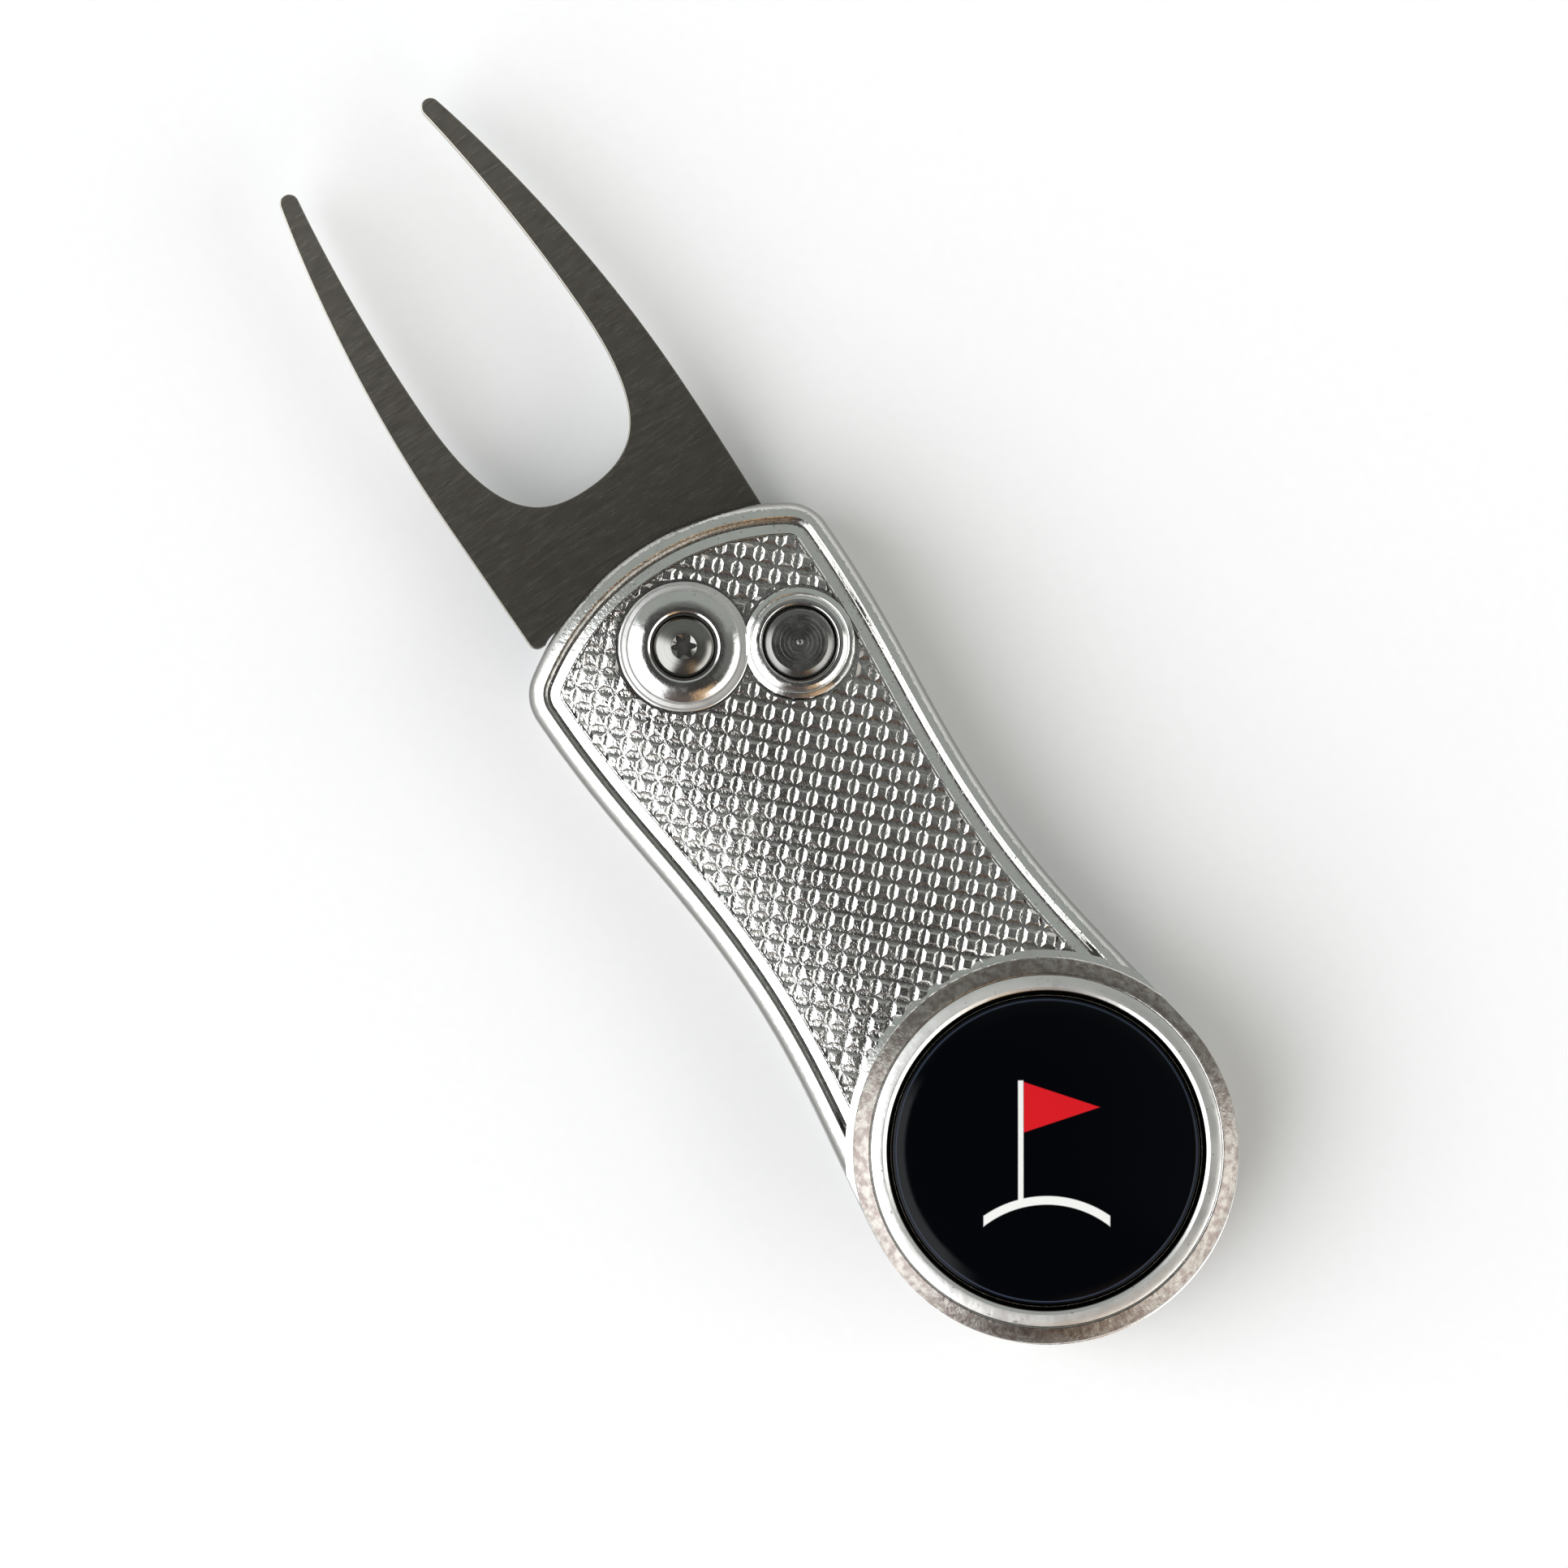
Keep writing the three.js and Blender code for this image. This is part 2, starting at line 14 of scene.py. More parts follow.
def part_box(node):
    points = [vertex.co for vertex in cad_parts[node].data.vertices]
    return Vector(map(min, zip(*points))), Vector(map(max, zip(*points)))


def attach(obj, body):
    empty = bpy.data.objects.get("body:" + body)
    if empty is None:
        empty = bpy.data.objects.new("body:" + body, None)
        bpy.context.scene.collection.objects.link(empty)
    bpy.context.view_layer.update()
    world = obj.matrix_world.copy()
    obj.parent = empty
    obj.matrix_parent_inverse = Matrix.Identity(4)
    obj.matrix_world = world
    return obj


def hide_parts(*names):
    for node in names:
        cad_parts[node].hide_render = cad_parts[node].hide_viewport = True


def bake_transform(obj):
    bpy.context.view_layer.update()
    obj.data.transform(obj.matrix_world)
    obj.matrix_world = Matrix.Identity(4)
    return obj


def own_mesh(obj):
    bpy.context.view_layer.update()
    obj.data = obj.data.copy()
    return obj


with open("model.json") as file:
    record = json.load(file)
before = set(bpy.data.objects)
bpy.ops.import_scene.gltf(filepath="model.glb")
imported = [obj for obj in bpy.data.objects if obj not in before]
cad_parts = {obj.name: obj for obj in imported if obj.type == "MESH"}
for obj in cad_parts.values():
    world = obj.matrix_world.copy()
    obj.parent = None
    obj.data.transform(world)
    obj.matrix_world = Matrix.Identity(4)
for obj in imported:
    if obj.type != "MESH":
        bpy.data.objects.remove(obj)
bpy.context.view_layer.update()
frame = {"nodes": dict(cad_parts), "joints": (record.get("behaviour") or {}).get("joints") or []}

MM = 0.001

# ---------------------------------------------------------------- places, from the frame

HINGE = next(j for j in frame["joints"] if j["name"] == "fork_swing")
SHIFT = HINGE["pos_m"][0]


def span(node):
    """A CAD node's (low, high) corners in plan millimetres."""
    low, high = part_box(node)
    offset = Vector((SHIFT, 0, 0))
    return (low - offset) / MM, (high - offset) / MM


def middle(node):
    low, high = span(node)
    return (low + high) / 2


PIVOT = (0.0, HINGE["pos_m"][1] / MM)
BUTTON = tuple(middle("push_button")[:2])
SEAT = tuple(middle("marker_cup")[:2])
STOP = tuple(middle("stop_pin")[:2])
REAR = [tuple(middle(f"rear_screw_{i}")[:2]) for i in (1, 2)]
FRONT_LOW, FRONT_HIGH = span("front_scale")
SPLIT = FRONT_LOW.z
RING_TOP = FRONT_HIGH.z
MARKER_TIP_X = FRONT_LOW.x
FORK_LOW, FORK_HIGH = span("fork")
BUTTON_LOW, BUTTON_HIGH = span("push_button")
CUP_LOW, CUP_HIGH = span("marker_cup")
DOME_LOW = span("marker_dome")[0]
SCREW_LOW, SCREW_HIGH = span("pivot_screw")

# ---------------------------------------------------------------- driving sizes, millimetres

END_R = FRONT_HIGH.y
END_X = MARKER_TIP_X + END_R
WAIST_X, WAIST_HALF = -24.0, 12.05
SHOULDER_X, SHOULDER_HALF = 1.0, 13.65
NOSE_X = FRONT_HIGH.x
NOSE_R, CORNER_X, CORNER_R = 22.0, 1.82, 3.5

RIM_TOP = 11.0
BAND_Z = 10.5
FIELD_INSET = 2.62
FIELD_FLOOR = 9.6
VALLEY_DEPTH = 0.27
CROWN = 0.005
CELL = 1.5
BACK_PLATE_TOP = 4.4

# The bosses and the gap between each of them and the grip
BOSS_R, BUTTON_BOSS_R, MOAT = 5.12, 4.4, 0.2
BARREL_BORE_R, PIN_BORE_R, WASHER_POCKET_R = 2.08, 1.06, 5.3
SEAT_R, SEAT_MOUTH_R = 12.4, 12.9
SEAT_FLOOR = CUP_LOW.z
RESIN_R, RESIN_EDGE, DOME_RISE = 11.98, 0.42, 0.42

# The cavity is swept by the fork's tips; the spine closes its -Y side
TIP_SWEEP_R = 48.3
SPINE_Y, SPINE_ROOT_Y = -10.2, -11.1
OUTSIDE_Y = -20

# Where the torsion spring's leg starts, in degrees, and its coil
LEG_ANGLE, TORSION_R, TORSION_WIRE_R = 150, 4.65, 0.25
# The button spring's well, and the share of its length the spring keeps when the button is down
WELL_FLOOR, COIL_KEEP = 0.9, 0.587
PUSH_R, PUSH_WIRE_R, PUSH_TURNS = 0.85, 0.16, 7

# ---------------------------------------------------------------- view and print

VIEW_RIGHT, VIEW_UP = (-0.567, -0.824), (0.824, -0.567)
VIEW_CENTRE = (-0.00497, 0.00058, 0.0085)
VIEW_WIDTH = 0.1223
VIEW_LENS, VIEW_SENSOR = 180, 36
VIEW_LEAN = (-0.02, -0.015)

# Painted shade: the grey that the castings' steep walls are darkened to
STEEP_WALL_SHADE = (0.24, 0.235, 0.225)
# Painted reflection: the mottled brown and grey painted on the drum's outer edge
DRUM_REFLECTION_BROWN, DRUM_REFLECTION_GREY = (0.15, 0.110, 0.095), (0.30, 0.275, 0.245)

PRINT_BLACK = (0.0010, 0.0013, 0.0022)
PRINT_SCALE = 0.78
PRINT_RED = (0.62, 0.012, 0.018)
PRINT_WHITE = (0.82, 0.82, 0.80)

# The room round the tool: azimuth and half spread in the view, where it starts and is full, colour
OVERHEAD = (0.035, 0.033, 0.031)
ROOM = [
    (0, 180, 0.94, 0.99, (0.42, 0.43, 0.42)),
    (40, 75, 0.04, 0.24, (0.13, 0.135, 0.13)),
    (92, 72, 0.26, 0.50, (0.29, 0.31, 0.295)),
    (272, 36, 0.25, 0.75, (0.105, 0.085, 0.078)),
    (296, 9, 0.30, 0.50, (0.50, 0.34, 0.20)),
    (-24, 33, 0.60, 0.78, (2.1, 2.1, 2.05)),
    (200, 42, 0.18, 0.26, (2.5, 2.55, 2.6)),
]
ROOM_STRENGTH = 1.2


# ---------------------------------------------------------------- mesh helpers


def piece(name, vertices, faces, scale=MM):
    """A mesh object whose plan millimetres become row metres."""
    mesh = bpy.data.meshes.new(name)
    mesh.from_pydata([tuple(v) for v in vertices], [], faces)
    mesh.transform(Matrix.Translation((SHIFT, 0, 0)) @ Matrix.Scale(scale, 4))
    form = bmesh.new()
    form.from_mesh(mesh)
    bmesh.ops.triangulate(form, faces=[f for f in form.faces if len(f.verts) > 4])
    form.to_mesh(mesh)
    form.free()
    obj = bpy.data.objects.new(name, mesh)
    bpy.context.scene.collection.objects.link(obj)
    return obj


def loft(name, loops):
    """A closed solid through loops of equal length, counter-clockwise and from the bottom up."""
    count = len(loops[0])
    vertices = [v for loop in loops for v in loop]
    faces = [tuple(reversed(range(count)))]
    for k in range(len(loops) - 1):
        low, high = k * count, (k + 1) * count
        for i in range(count):
            j = (i + 1) % count
            faces.append((low + i, low + j, high + j, high + i))
    faces.append(tuple(range((len(loops) - 1) * count, len(loops) * count)))
    return piece(name, vertices, faces)


def circle(centre, r, z, count):
    steps = (2 * math.pi * i / count for i in range(count))
    return [(centre[0] + r * math.cos(a), centre[1] + r * math.sin(a), z) for a in steps]


def turned(name, profile, centre, count=96):
    """A solid of revolution. The profile runs bottom to top as (r, z), and starts and ends on the axis."""
    vertices, faces, rows = [], [], []
    for r, z in profile:
        if r < 1e-6:
            rows.append([len(vertices)])
            vertices.append((centre[0], centre[1], z))
        else:
            rows.append(list(range(len(vertices), len(vertices) + count)))
            vertices += circle(centre, r, z, count)
    for low, high in zip(rows, rows[1:]):
        for i in range(count):
            j = (i + 1) % count
            if len(low) == 1 and len(high) == 1:
                continue
            if len(low) == 1:
                faces.append((low[0], high[j], high[i]))
            elif len(high) == 1:
                faces.append((low[i], low[j], high[0]))
            else:
                faces.append((low[i], low[j], high[j], high[i]))
    return piece(name, vertices, faces)


def prism(name, outline, bottom, top):
    return loft(name, [[(x, y, z) for x, y in outline] for z in (bottom, top)])


def disc(name, centre, r, bottom, top, count=96):
    return loft(name, [circle(centre, r, z, count) for z in (bottom, top)])


def slab(name, x0, x1, y0, y1, z0, z1):
    return prism(name, [(x0, y0), (x1, y0), (x1, y1), (x0, y1)], z0, z1)


def settle(obj):
    """Applies every modifier and keeps the result as the object's own mesh."""
    graph = bpy.context.evaluated_depsgraph_get()
    mesh = bpy.data.meshes.new_from_object(obj.evaluated_get(graph))
    mesh.name = obj.name
    old = obj.data
    obj.modifiers.clear()
    obj.data = mesh
    bpy.data.meshes.remove(old)
    return obj


def combine(obj, operation, others):
    for other in others:
        step = obj.modifiers.new("combine", "BOOLEAN")
        step.operation = operation
        step.solver = "MANIFOLD"
        step.object = other
    settle(obj)
    for other in others:
        mesh = other.data
        bpy.data.objects.remove(other)
        bpy.data.meshes.remove(mesh)
    return obj


def join(obj, *others):
    return combine(obj, "UNION", others)


def cut(obj, *others):
    return combine(obj, "DIFFERENCE", others)


def shade(obj, angle=28):
    """Smooth shading with creases, large faces keeping their own direction."""
    mesh = obj.data
    mesh.polygons.foreach_set("use_smooth", [True] * len(mesh.polygons))
    mesh.set_sharp_from_angle(angle=math.radians(angle))
    weighted = obj.modifiers.new("weighted", "WEIGHTED_NORMAL")
    weighted.keep_sharp = True
    weighted.weight = 60
    return obj


# ---------------------------------------------------------------- curves


def arc(cx, cy, r, start, end, count):
    steps = (start + (end - start) * i / count for i in range(count + 1))
    return [(cx + r * math.cos(a), cy + r * math.sin(a)) for a in steps]


def bezier(p0, p1, p2, p3, count):
    points = []
    for i in range(count + 1):
        t = i / count
        s = 1 - t
        w = (s**3, 3 * s * s * t, 3 * s * t * t, t**3)
        axes = zip(p0, p1, p2, p3)
        points.append(tuple(w[0] * a + w[1] * b + w[2] * c + w[3] * d for a, b, c, d in axes))
    return points


def resample(points, spacing):
    """The same open line with points at an even spacing."""
    lengths = [0.0]
    for a, b in zip(points, points[1:]):
        lengths.append(lengths[-1] + math.dist(a, b))
    count = max(2, round(lengths[-1] / spacing))
    result, k = [], 0
    for i in range(count + 1):
        target = lengths[-1] * i / count
        while k < len(points) - 2 and lengths[k + 1] < target:
            k += 1
        step = lengths[k + 1] - lengths[k] or 1
        t = (target - lengths[k]) / step
        result.append(tuple(a + (b - a) * t for a, b in zip(points[k], points[k + 1])))
    return result


def handle_outline(spacing=0.42):
    """The handle's plan outline, counter-clockwise."""
    leave = math.acos(2 / END_R)
    leave_y = END_R * math.sin(leave)
    nose_c = NOSE_X - NOSE_R
    corner_y = SHOULDER_HALF - CORNER_R
    meet = math.atan2(corner_y, CORNER_X - nose_c)
    upper = arc(END_X, 0, END_R, math.pi, leave, 90)
    waist, shoulder = (WAIST_X, WAIST_HALF), (SHOULDER_X, SHOULDER_HALF)
    upper += bezier((END_X + 2, leave_y), (-38, leave_y - 1.2), (-32, WAIST_HALF), waist, 60)
    upper += bezier(waist, (-14, WAIST_HALF), (-9, SHOULDER_HALF), shoulder, 60)
    upper += arc(CORNER_X, corner_y, CORNER_R, math.pi / 2, meet, 30)
    upper += arc(nose_c, 0, NOSE_R, meet, 0, 40)
    upper = resample(upper, spacing)
    lower = [(x, -y) for x, y in reversed(upper[1:-1])]
    return list(reversed(upper + lower))


OUTLINE = handle_outline()


def inset(outline, distance):
    """The outline moved sideways towards its inner side."""
    count = len(outline)
    result = []
    for i, (x, y) in enumerate(outline):
        bx, by = outline[i - 1]
        ax, ay = outline[(i + 1) % count]
        length = math.hypot(ax - bx, ay - by)
        result.append((x - (ay - by) / length * distance, y + (ax - bx) / length * distance))
    return result


def level(distance, z):
    """The handle's outline inset by a distance, at a height."""
    return [(x, y, z) for x, y in inset(OUTLINE, distance)]


# ---------------------------------------------------------------- materials


def node_material(name, base, roughness, metallic=1.0):
    material = bpy.data.materials.new(name)
    material.use_nodes = True
    shader = material.node_tree.nodes["Principled BSDF"]
    shader.inputs["Base Color"].default_value = (*base, 1)
    shader.inputs["Roughness"].default_value = roughness
    shader.inputs["Metallic"].default_value = metallic
    return material, material.node_tree, shader


def add(tree, kind, **settings):
    node = tree.nodes.new(kind)
    for key, value in settings.items():
        if key in node.inputs:
            node.inputs[key].default_value = value
        else:
            setattr(node, key, value)
    return node


def millimetres(tree, stretch=(1, 1, 1), origin=(0, 0)):
    """Object coordinates in plan millimetres, from origin, stretched."""
    coordinates = add(tree, "ShaderNodeTexCoord")
    mapping = add(tree, "ShaderNodeMapping")
    mapping.vector_type = "POINT"
    scale = Vector(stretch) / MM
    mapping.inputs["Scale"].default_value = scale
    mapping.inputs["Location"].default_value = (
        -(origin[0] + SHIFT / MM) * stretch[0],
        -origin[1] * stretch[1],
        0,
    )
    tree.links.new(coordinates.outputs["Object"], mapping.inputs["Vector"])
    return mapping.outputs["Vector"]


def from_point(tree, centre):
    """Plan distance from a centre in millimetres."""
    node = add(tree, "ShaderNodeVectorMath", operation="LENGTH")
    tree.links.new(millimetres(tree, (1, 1, 0), centre), node.inputs[0])
    return node.outputs["Value"]


def noise(tree, vector, scale, detail=3.0, rough=0.55):
    node = add(tree, "ShaderNodeTexNoise", Scale=scale, Detail=detail, Roughness=rough)
    tree.links.new(vector, node.inputs["Vector"])
    return node.outputs["Fac"]


def ramp(tree, value, low, high, out_low=0.0, out_high=1.0):
    node = add(tree, "ShaderNodeMapRange")
    node.inputs["From Min"].default_value = low
    node.inputs["From Max"].default_value = high
    node.inputs["To Min"].default_value = out_low
    node.inputs["To Max"].default_value = out_high
    tree.links.new(value, node.inputs["Value"])
    return node.outputs["Result"]


def smooth(tree, value, low, high):
    node = add(tree, "ShaderNodeMapRange", interpolation_type="SMOOTHSTEP")
    node.inputs["From Min"].default_value = low
    node.inputs["From Max"].default_value = high
    tree.links.new(value, node.inputs["Value"])
    return node.outputs["Result"]


def between(tree, value, low, high, soft=0.06):
    """1 where value lies between low and high, with soft ends."""
    rise = smooth(tree, value, low - soft, low + soft)
    fall = smooth(tree, value, high + soft, high - soft)
    return maths(tree, "MULTIPLY", rise, fall)


def maths(tree, operation, a, b):
    node = add(tree, "ShaderNodeMath", operation=operation)
    for socket, value in zip(node.inputs, (a, b)):
        if isinstance(value, (int, float)):
            socket.default_value = value
        else:
            tree.links.new(value, socket)
    return node.outputs["Value"]


def axis_value(tree, vector, direction, height=0.0):
    """Distance along a direction, given by its plan part and its height."""
    dot = add(tree, "ShaderNodeVectorMath", operation="DOT_PRODUCT")
    tree.links.new(vector, dot.inputs[0])
    dot.inputs[1].default_value = (*direction, height)
    return dot.outputs["Value"]


def mix_colour(tree, factor, a, b):
    node = add(tree, "ShaderNodeMix", data_type="RGBA")
    tree.links.new(factor, node.inputs["Factor"])
    colours = [s for s in node.inputs if s.type == "RGBA"]
    for socket, value in zip(colours, (a, b)):
        if isinstance(value, tuple):
            socket.default_value = (*value, 1)
        else:
            tree.links.new(value, socket)
    return next(s for s in node.outputs if s.type == "RGBA")


def bump(tree, shader, heights):
    """Chains bumps, each (height, strength, depth in millimetres)."""
    normal = None
    for height, strength, depth in heights:
        node = add(tree, "ShaderNodeBump", Strength=strength, Distance=depth * MM)
        tree.links.new(height, node.inputs["Height"])
        if normal is not None:
            tree.links.new(normal, node.inputs["Normal"])
        normal = node.outputs["Normal"]
    tree.links.new(normal, shader.inputs["Normal"])


def plated_casting():
    """Bright plating over a die casting.

    A stippled skin, calmer on the bosses, with stains and tiny pits. Steep walls are painted a darker
    grey as shade, the bosses' feet and the ring are duller, the drum's edge carries a painted brown
    reflection and is rough, and the marker's bore is painted dark as shade.
    """
    material, tree, shader = node_material("plated_casting", (0.80, 0.79, 0.77), 0.12)
    place = millimetres(tree)
    calm = 1.0
    for centre, r in ((PIVOT, 5.3), (BUTTON, 4.4), (SEAT, 14.4)):
        skin_share = ramp(tree, from_point(tree, centre), r - 0.2, r + 0.2, 0.22, 1.0)
        calm = maths(tree, "MULTIPLY", calm, skin_share)
    waves = noise(tree, place, 0.6, 2.0)
    stipple = maths(tree, "MULTIPLY", noise(tree, place, 3.4, 2.0, 0.6), calm)
    skin = noise(tree, place, 9.0, 3.0, 0.7)
    patches = noise(tree, place, 0.35, 3.0)
    pits = ramp(tree, noise(tree, place, 3.2, 2.0), 0.68, 0.74)
    from_pivot, from_seat = from_point(tree, PIVOT), from_point(tree, SEAT)
    height = axis_value(tree, place, (0, 0), height=1)
    front, raised = smooth(tree, height, 8.8, 9.2), smooth(tree, height, 9.9, 10.3)
    foot = between(tree, from_pivot, 4.3, 5.05)
    ring = between(tree, from_seat, SEAT_R + 0.1, 13.65)
    drum_side = maths(tree, "MULTIPLY", between(tree, from_seat, 13.75, 15.0), raised)
    bore = maths(tree, "MULTIPLY", between(tree, from_seat, SEAT_R - 0.5, SEAT_R + 0.06), front)
    dull = maths(tree, "MULTIPLY", maths(tree, "MAXIMUM", foot, ring), front)
    gloss = ramp(tree, patches, 0.35, 0.7, 0.08, 0.18)
    gloss = maths(tree, "ADD", gloss, maths(tree, "MULTIPLY", dull, 0.26))
    gloss = maths(tree, "ADD", gloss, maths(tree, "MULTIPLY", drum_side, 0.16))
    tree.links.new(gloss, shader.inputs["Roughness"])
    tone = mix_colour(tree, ramp(tree, patches, 0.4, 0.75), (0.84, 0.83, 0.81), (0.74, 0.73, 0.70))
    tone = mix_colour(tree, pits, tone, (0.42, 0.40, 0.37))
    # Painted shade: walls turn toward a darker grey the steeper they stand
    upright = axis_value(tree, add(tree, "ShaderNodeNewGeometry").outputs["Normal"], (0, 0), height=1)
    steep_shade = smooth(tree, maths(tree, "ABSOLUTE", upright, 0), 0.86, 0.42)
    tone = mix_colour(tree, steep_shade, tone, STEEP_WALL_SHADE)
    # Painted reflection: brown and grey mottling over the drum's outer edge
    drum_reflection = mix_colour(tree, ramp(tree, noise(tree, place, 1.6, 4.0), 0.4, 0.6), DRUM_REFLECTION_BROWN, DRUM_REFLECTION_GREY)
    tone = mix_colour(tree, maths(tree, "MULTIPLY", drum_side, 0.88), tone, drum_reflection)
    # Painted shade: the marker's bore, in the gap between the cup and the ring, is near black
    tone = mix_colour(tree, bore, tone, (0.02, 0.018, 0.015))
    tree.links.new(tone, shader.inputs["Base Color"])
    coarse = maths(tree, "MULTIPLY", noise(tree, place, 2.2, 4.0, 0.7), drum_side)
    texture = [(waves, 0.6, 0.06), (stipple, 0.8, 0.035), (skin, 0.5, 0.008)]
    flaws = [(pits, -0.4, 0.03), (coarse, 0.9, 0.06)]
    bump(tree, shader, texture + flaws)
    return material


def brushed_fork():
    """Dark warm stainless, finely brushed, with a sprinkle of specks, and painted light making it lighter
    towards the tips.
    """
    material, tree, shader = node_material("fork_steel", (0.12, 0.11, 0.09), 0.24)
    across = millimetres(tree, stretch=(2.4, 0.2, 1.0))
    place = millimetres(tree)
    streaks = noise(tree, across, 3.2, 4.0, 0.6)
    broad = noise(tree, place, 0.09, 2.0)
    specks = ramp(tree, noise(tree, place, 4.5, 1.0), 0.80, 0.86)
    tone = mix_colour(tree, streaks, (0.190, 0.176, 0.150), (0.210, 0.195, 0.167))
    tone = mix_colour(tree, ramp(tree, broad, 0.3, 0.7, 0.0, 0.5), tone, (0.22, 0.20, 0.17))
    tone = mix_colour(tree, specks, tone, (0.10, 0.094, 0.085))
    # Painted light: the blade grows lighter along its length towards the tips
    lengthwise = add(tree, "ShaderNodeSeparateXYZ")
    tree.links.new(place, lengthwise.inputs[0])
    painted_tip_light = ramp(tree, lengthwise.outputs["X"], 10, 50)
    tone = mix_colour(tree, painted_tip_light, tone, mix_colour(tree, streaks, (0.36, 0.335, 0.29), (0.43, 0.40, 0.35)))
    tree.links.new(tone, shader.inputs["Base Color"])
    tree.links.new(ramp(tree, streaks, 0.3, 0.7, 0.22, 0.28), shader.inputs["Roughness"])
    bump(tree, shader, [(streaks, 0.04, 0.004)])
    return material


def turned_steel(name, centre, base, roughness, ring_pitch=0.11, strength=0.25):
    """Machined steel with concentric tool marks round a centre."""
    material, tree, shader = node_material(name, base, roughness)
    radius = from_point(tree, centre)
    rings = add(tree, "ShaderNodeTexNoise", noise_dimensions="1D", Scale=1 / ring_pitch, Detail=3.0)
    tree.links.new(radius, rings.inputs["W"])
    marks = rings.outputs["Fac"]
    smear = noise(tree, millimetres(tree), 0.9, 3.0)
    light = tuple(min(1.0, c * 1.35) for c in base)
    dark = tuple(c * 0.72 for c in base)
    tree.links.new(mix_colour(tree, marks, dark, light), shader.inputs["Base Color"])
    tree.links.new(ramp(tree, smear, 0.3, 0.7, roughness * 0.8, roughness * 1.25), shader.inputs["Roughness"])
    bump(tree, shader, [(marks, strength, 0.02)])
    return material


def satin_metal(name, base, roughness, grain=6.0):
    """Plain satin metal with fine grain and slight stains."""
    material, tree, shader = node_material(name, base, roughness)
    place = millimetres(tree)
    fine = noise(tree, place, grain, 4.0)
    stain = noise(tree, place, 0.5, 3.0)
    dark = tuple(c * 0.75 for c in base)
    tree.links.new(mix_colour(tree, ramp(tree, stain, 0.35, 0.7), base, dark), shader.inputs["Base Color"])
    tree.links.new(ramp(tree, fine, 0.3, 0.7, roughness * 0.8, roughness * 1.3), shader.inputs["Roughness"])
    bump(tree, shader, [(fine, 0.15, 0.01)])
    return material


MATERIALS = {
    "plated": plated_casting(),
    "fork": brushed_fork(),
    "button": turned_steel("button_steel", BUTTON, (0.20, 0.197, 0.19), 0.26),
    "screw": turned_steel("screw_steel", PIVOT, (0.25, 0.245, 0.23), 0.2, 0.18, 0.10),
    "wire": satin_metal("spring_wire", (0.5, 0.5, 0.49), 0.3),
    "bronze": satin_metal("washer_bronze", (0.55, 0.38, 0.16), 0.35),
    "magnet": satin_metal("magnet_plating", (0.56, 0.55, 0.53), 0.22, 3.0),
    "steel": satin_metal("pin_steel", (0.42, 0.41, 0.40), 0.3),
}


def finish_piece(obj, material, body, slot, *nodes):
    obj.data.materials.clear()
    obj.data.materials.append(material)
    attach(obj, body)
    if nodes:
        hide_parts(*nodes)
    return obj


# ---------------------------------------------------------------- grip field

# Across one cell of the grip: where along it, and how high between valley and crest
FRONT_CELL = [(0.0, 0.0), (0.085, 0.02), (0.285, 0.96), (0.5, 1.0), (0.715, 0.96), (0.915, 0.02)]
BACK_CELL = [(0.0, 0.0), (0.22, 0.96), (0.78, 0.96)]


def grip_field(name, cell_stops, root, valley, crest, half_length=34, half_width=13.5, centre_x=-18):
    """A closed slab whose top is a lattice of blunt pyramids, its rows at 45 degrees to the tool's axis."""
    diagonal = math.sqrt(0.5)
    reach = int((half_length + half_width) * diagonal / CELL) + 2
    stops = len(cell_stops)
    vertices, index, top_faces, edge_use = [], {}, [], {}

    def vertex(a, b):
        key = (a, b)
        if key not in index:
            u, hu = cell_stops[a % stops]
            v, hv = cell_stops[b % stops]
            s, t = (a // stops + u) * CELL, (b // stops + v) * CELL
            x, y = centre_x + (s - t) * diagonal, (s + t) * diagonal
            index[key] = len(vertices)
            vertices.append((x, y, valley + (crest - valley) * min(hu, hv)))
        return index[key]

    for i in range(-reach, reach):
        for j in range(-reach, reach):
            x, y = (i - j) * CELL * diagonal, (i + j + 1) * CELL * diagonal
            if abs(x) > half_length or abs(y) > half_width:
                continue
            for a in range(stops):
                for b in range(stops):
                    ga, gb = i * stops + a, j * stops + b
                    c0, c1 = vertex(ga, gb), vertex(ga + 1, gb)
                    c2, c3 = vertex(ga + 1, gb + 1), vertex(ga, gb + 1)
                    if a == b:
                        top_faces += [(c0, c1, c2), (c0, c2, c3)]
                    elif a + b == stops - 1:
                        top_faces += [(c0, c1, c3), (c1, c2, c3)]
                    else:
                        top_faces.append((c0, c1, c2, c3))
    for face in top_faces:
        for p, q in zip(face, face[1:] + face[:1]):
            edge_use[(p, q)] = edge_use.get((p, q), 0) + 1
    border = {p: q for p, q in edge_use if (q, p) not in edge_use}
    start = next(iter(border))
    ring, at = [start], border[start]
    while at != start:
        ring.append(at)
        at = border[at]
    base = len(vertices)
    vertices += [(vertices[v][0], vertices[v][1], root) for v in ring]
    count = len(ring)
    walls = [(ring[i], base + i, base + (i + 1) % count, ring[(i + 1) % count]) for i in range(count)]
    floor = tuple(base + i for i in reversed(range(count)))
    return piece(name, vertices, top_faces + walls + [floor])


# ---------------------------------------------------------------- handle castings


def quarter(steps):
    return [math.pi / 2 * i / steps for i in range(steps + 1)]


def crown(obj, above):
    """Lets what lies above a height fall away towards the tool's sides, in a shallow arch."""
    for vertex in obj.data.vertices:
        if vertex.co.z > above * MM:
            vertex.co.z -= CROWN * (vertex.co.y / MM) ** 2 * MM
    return obj


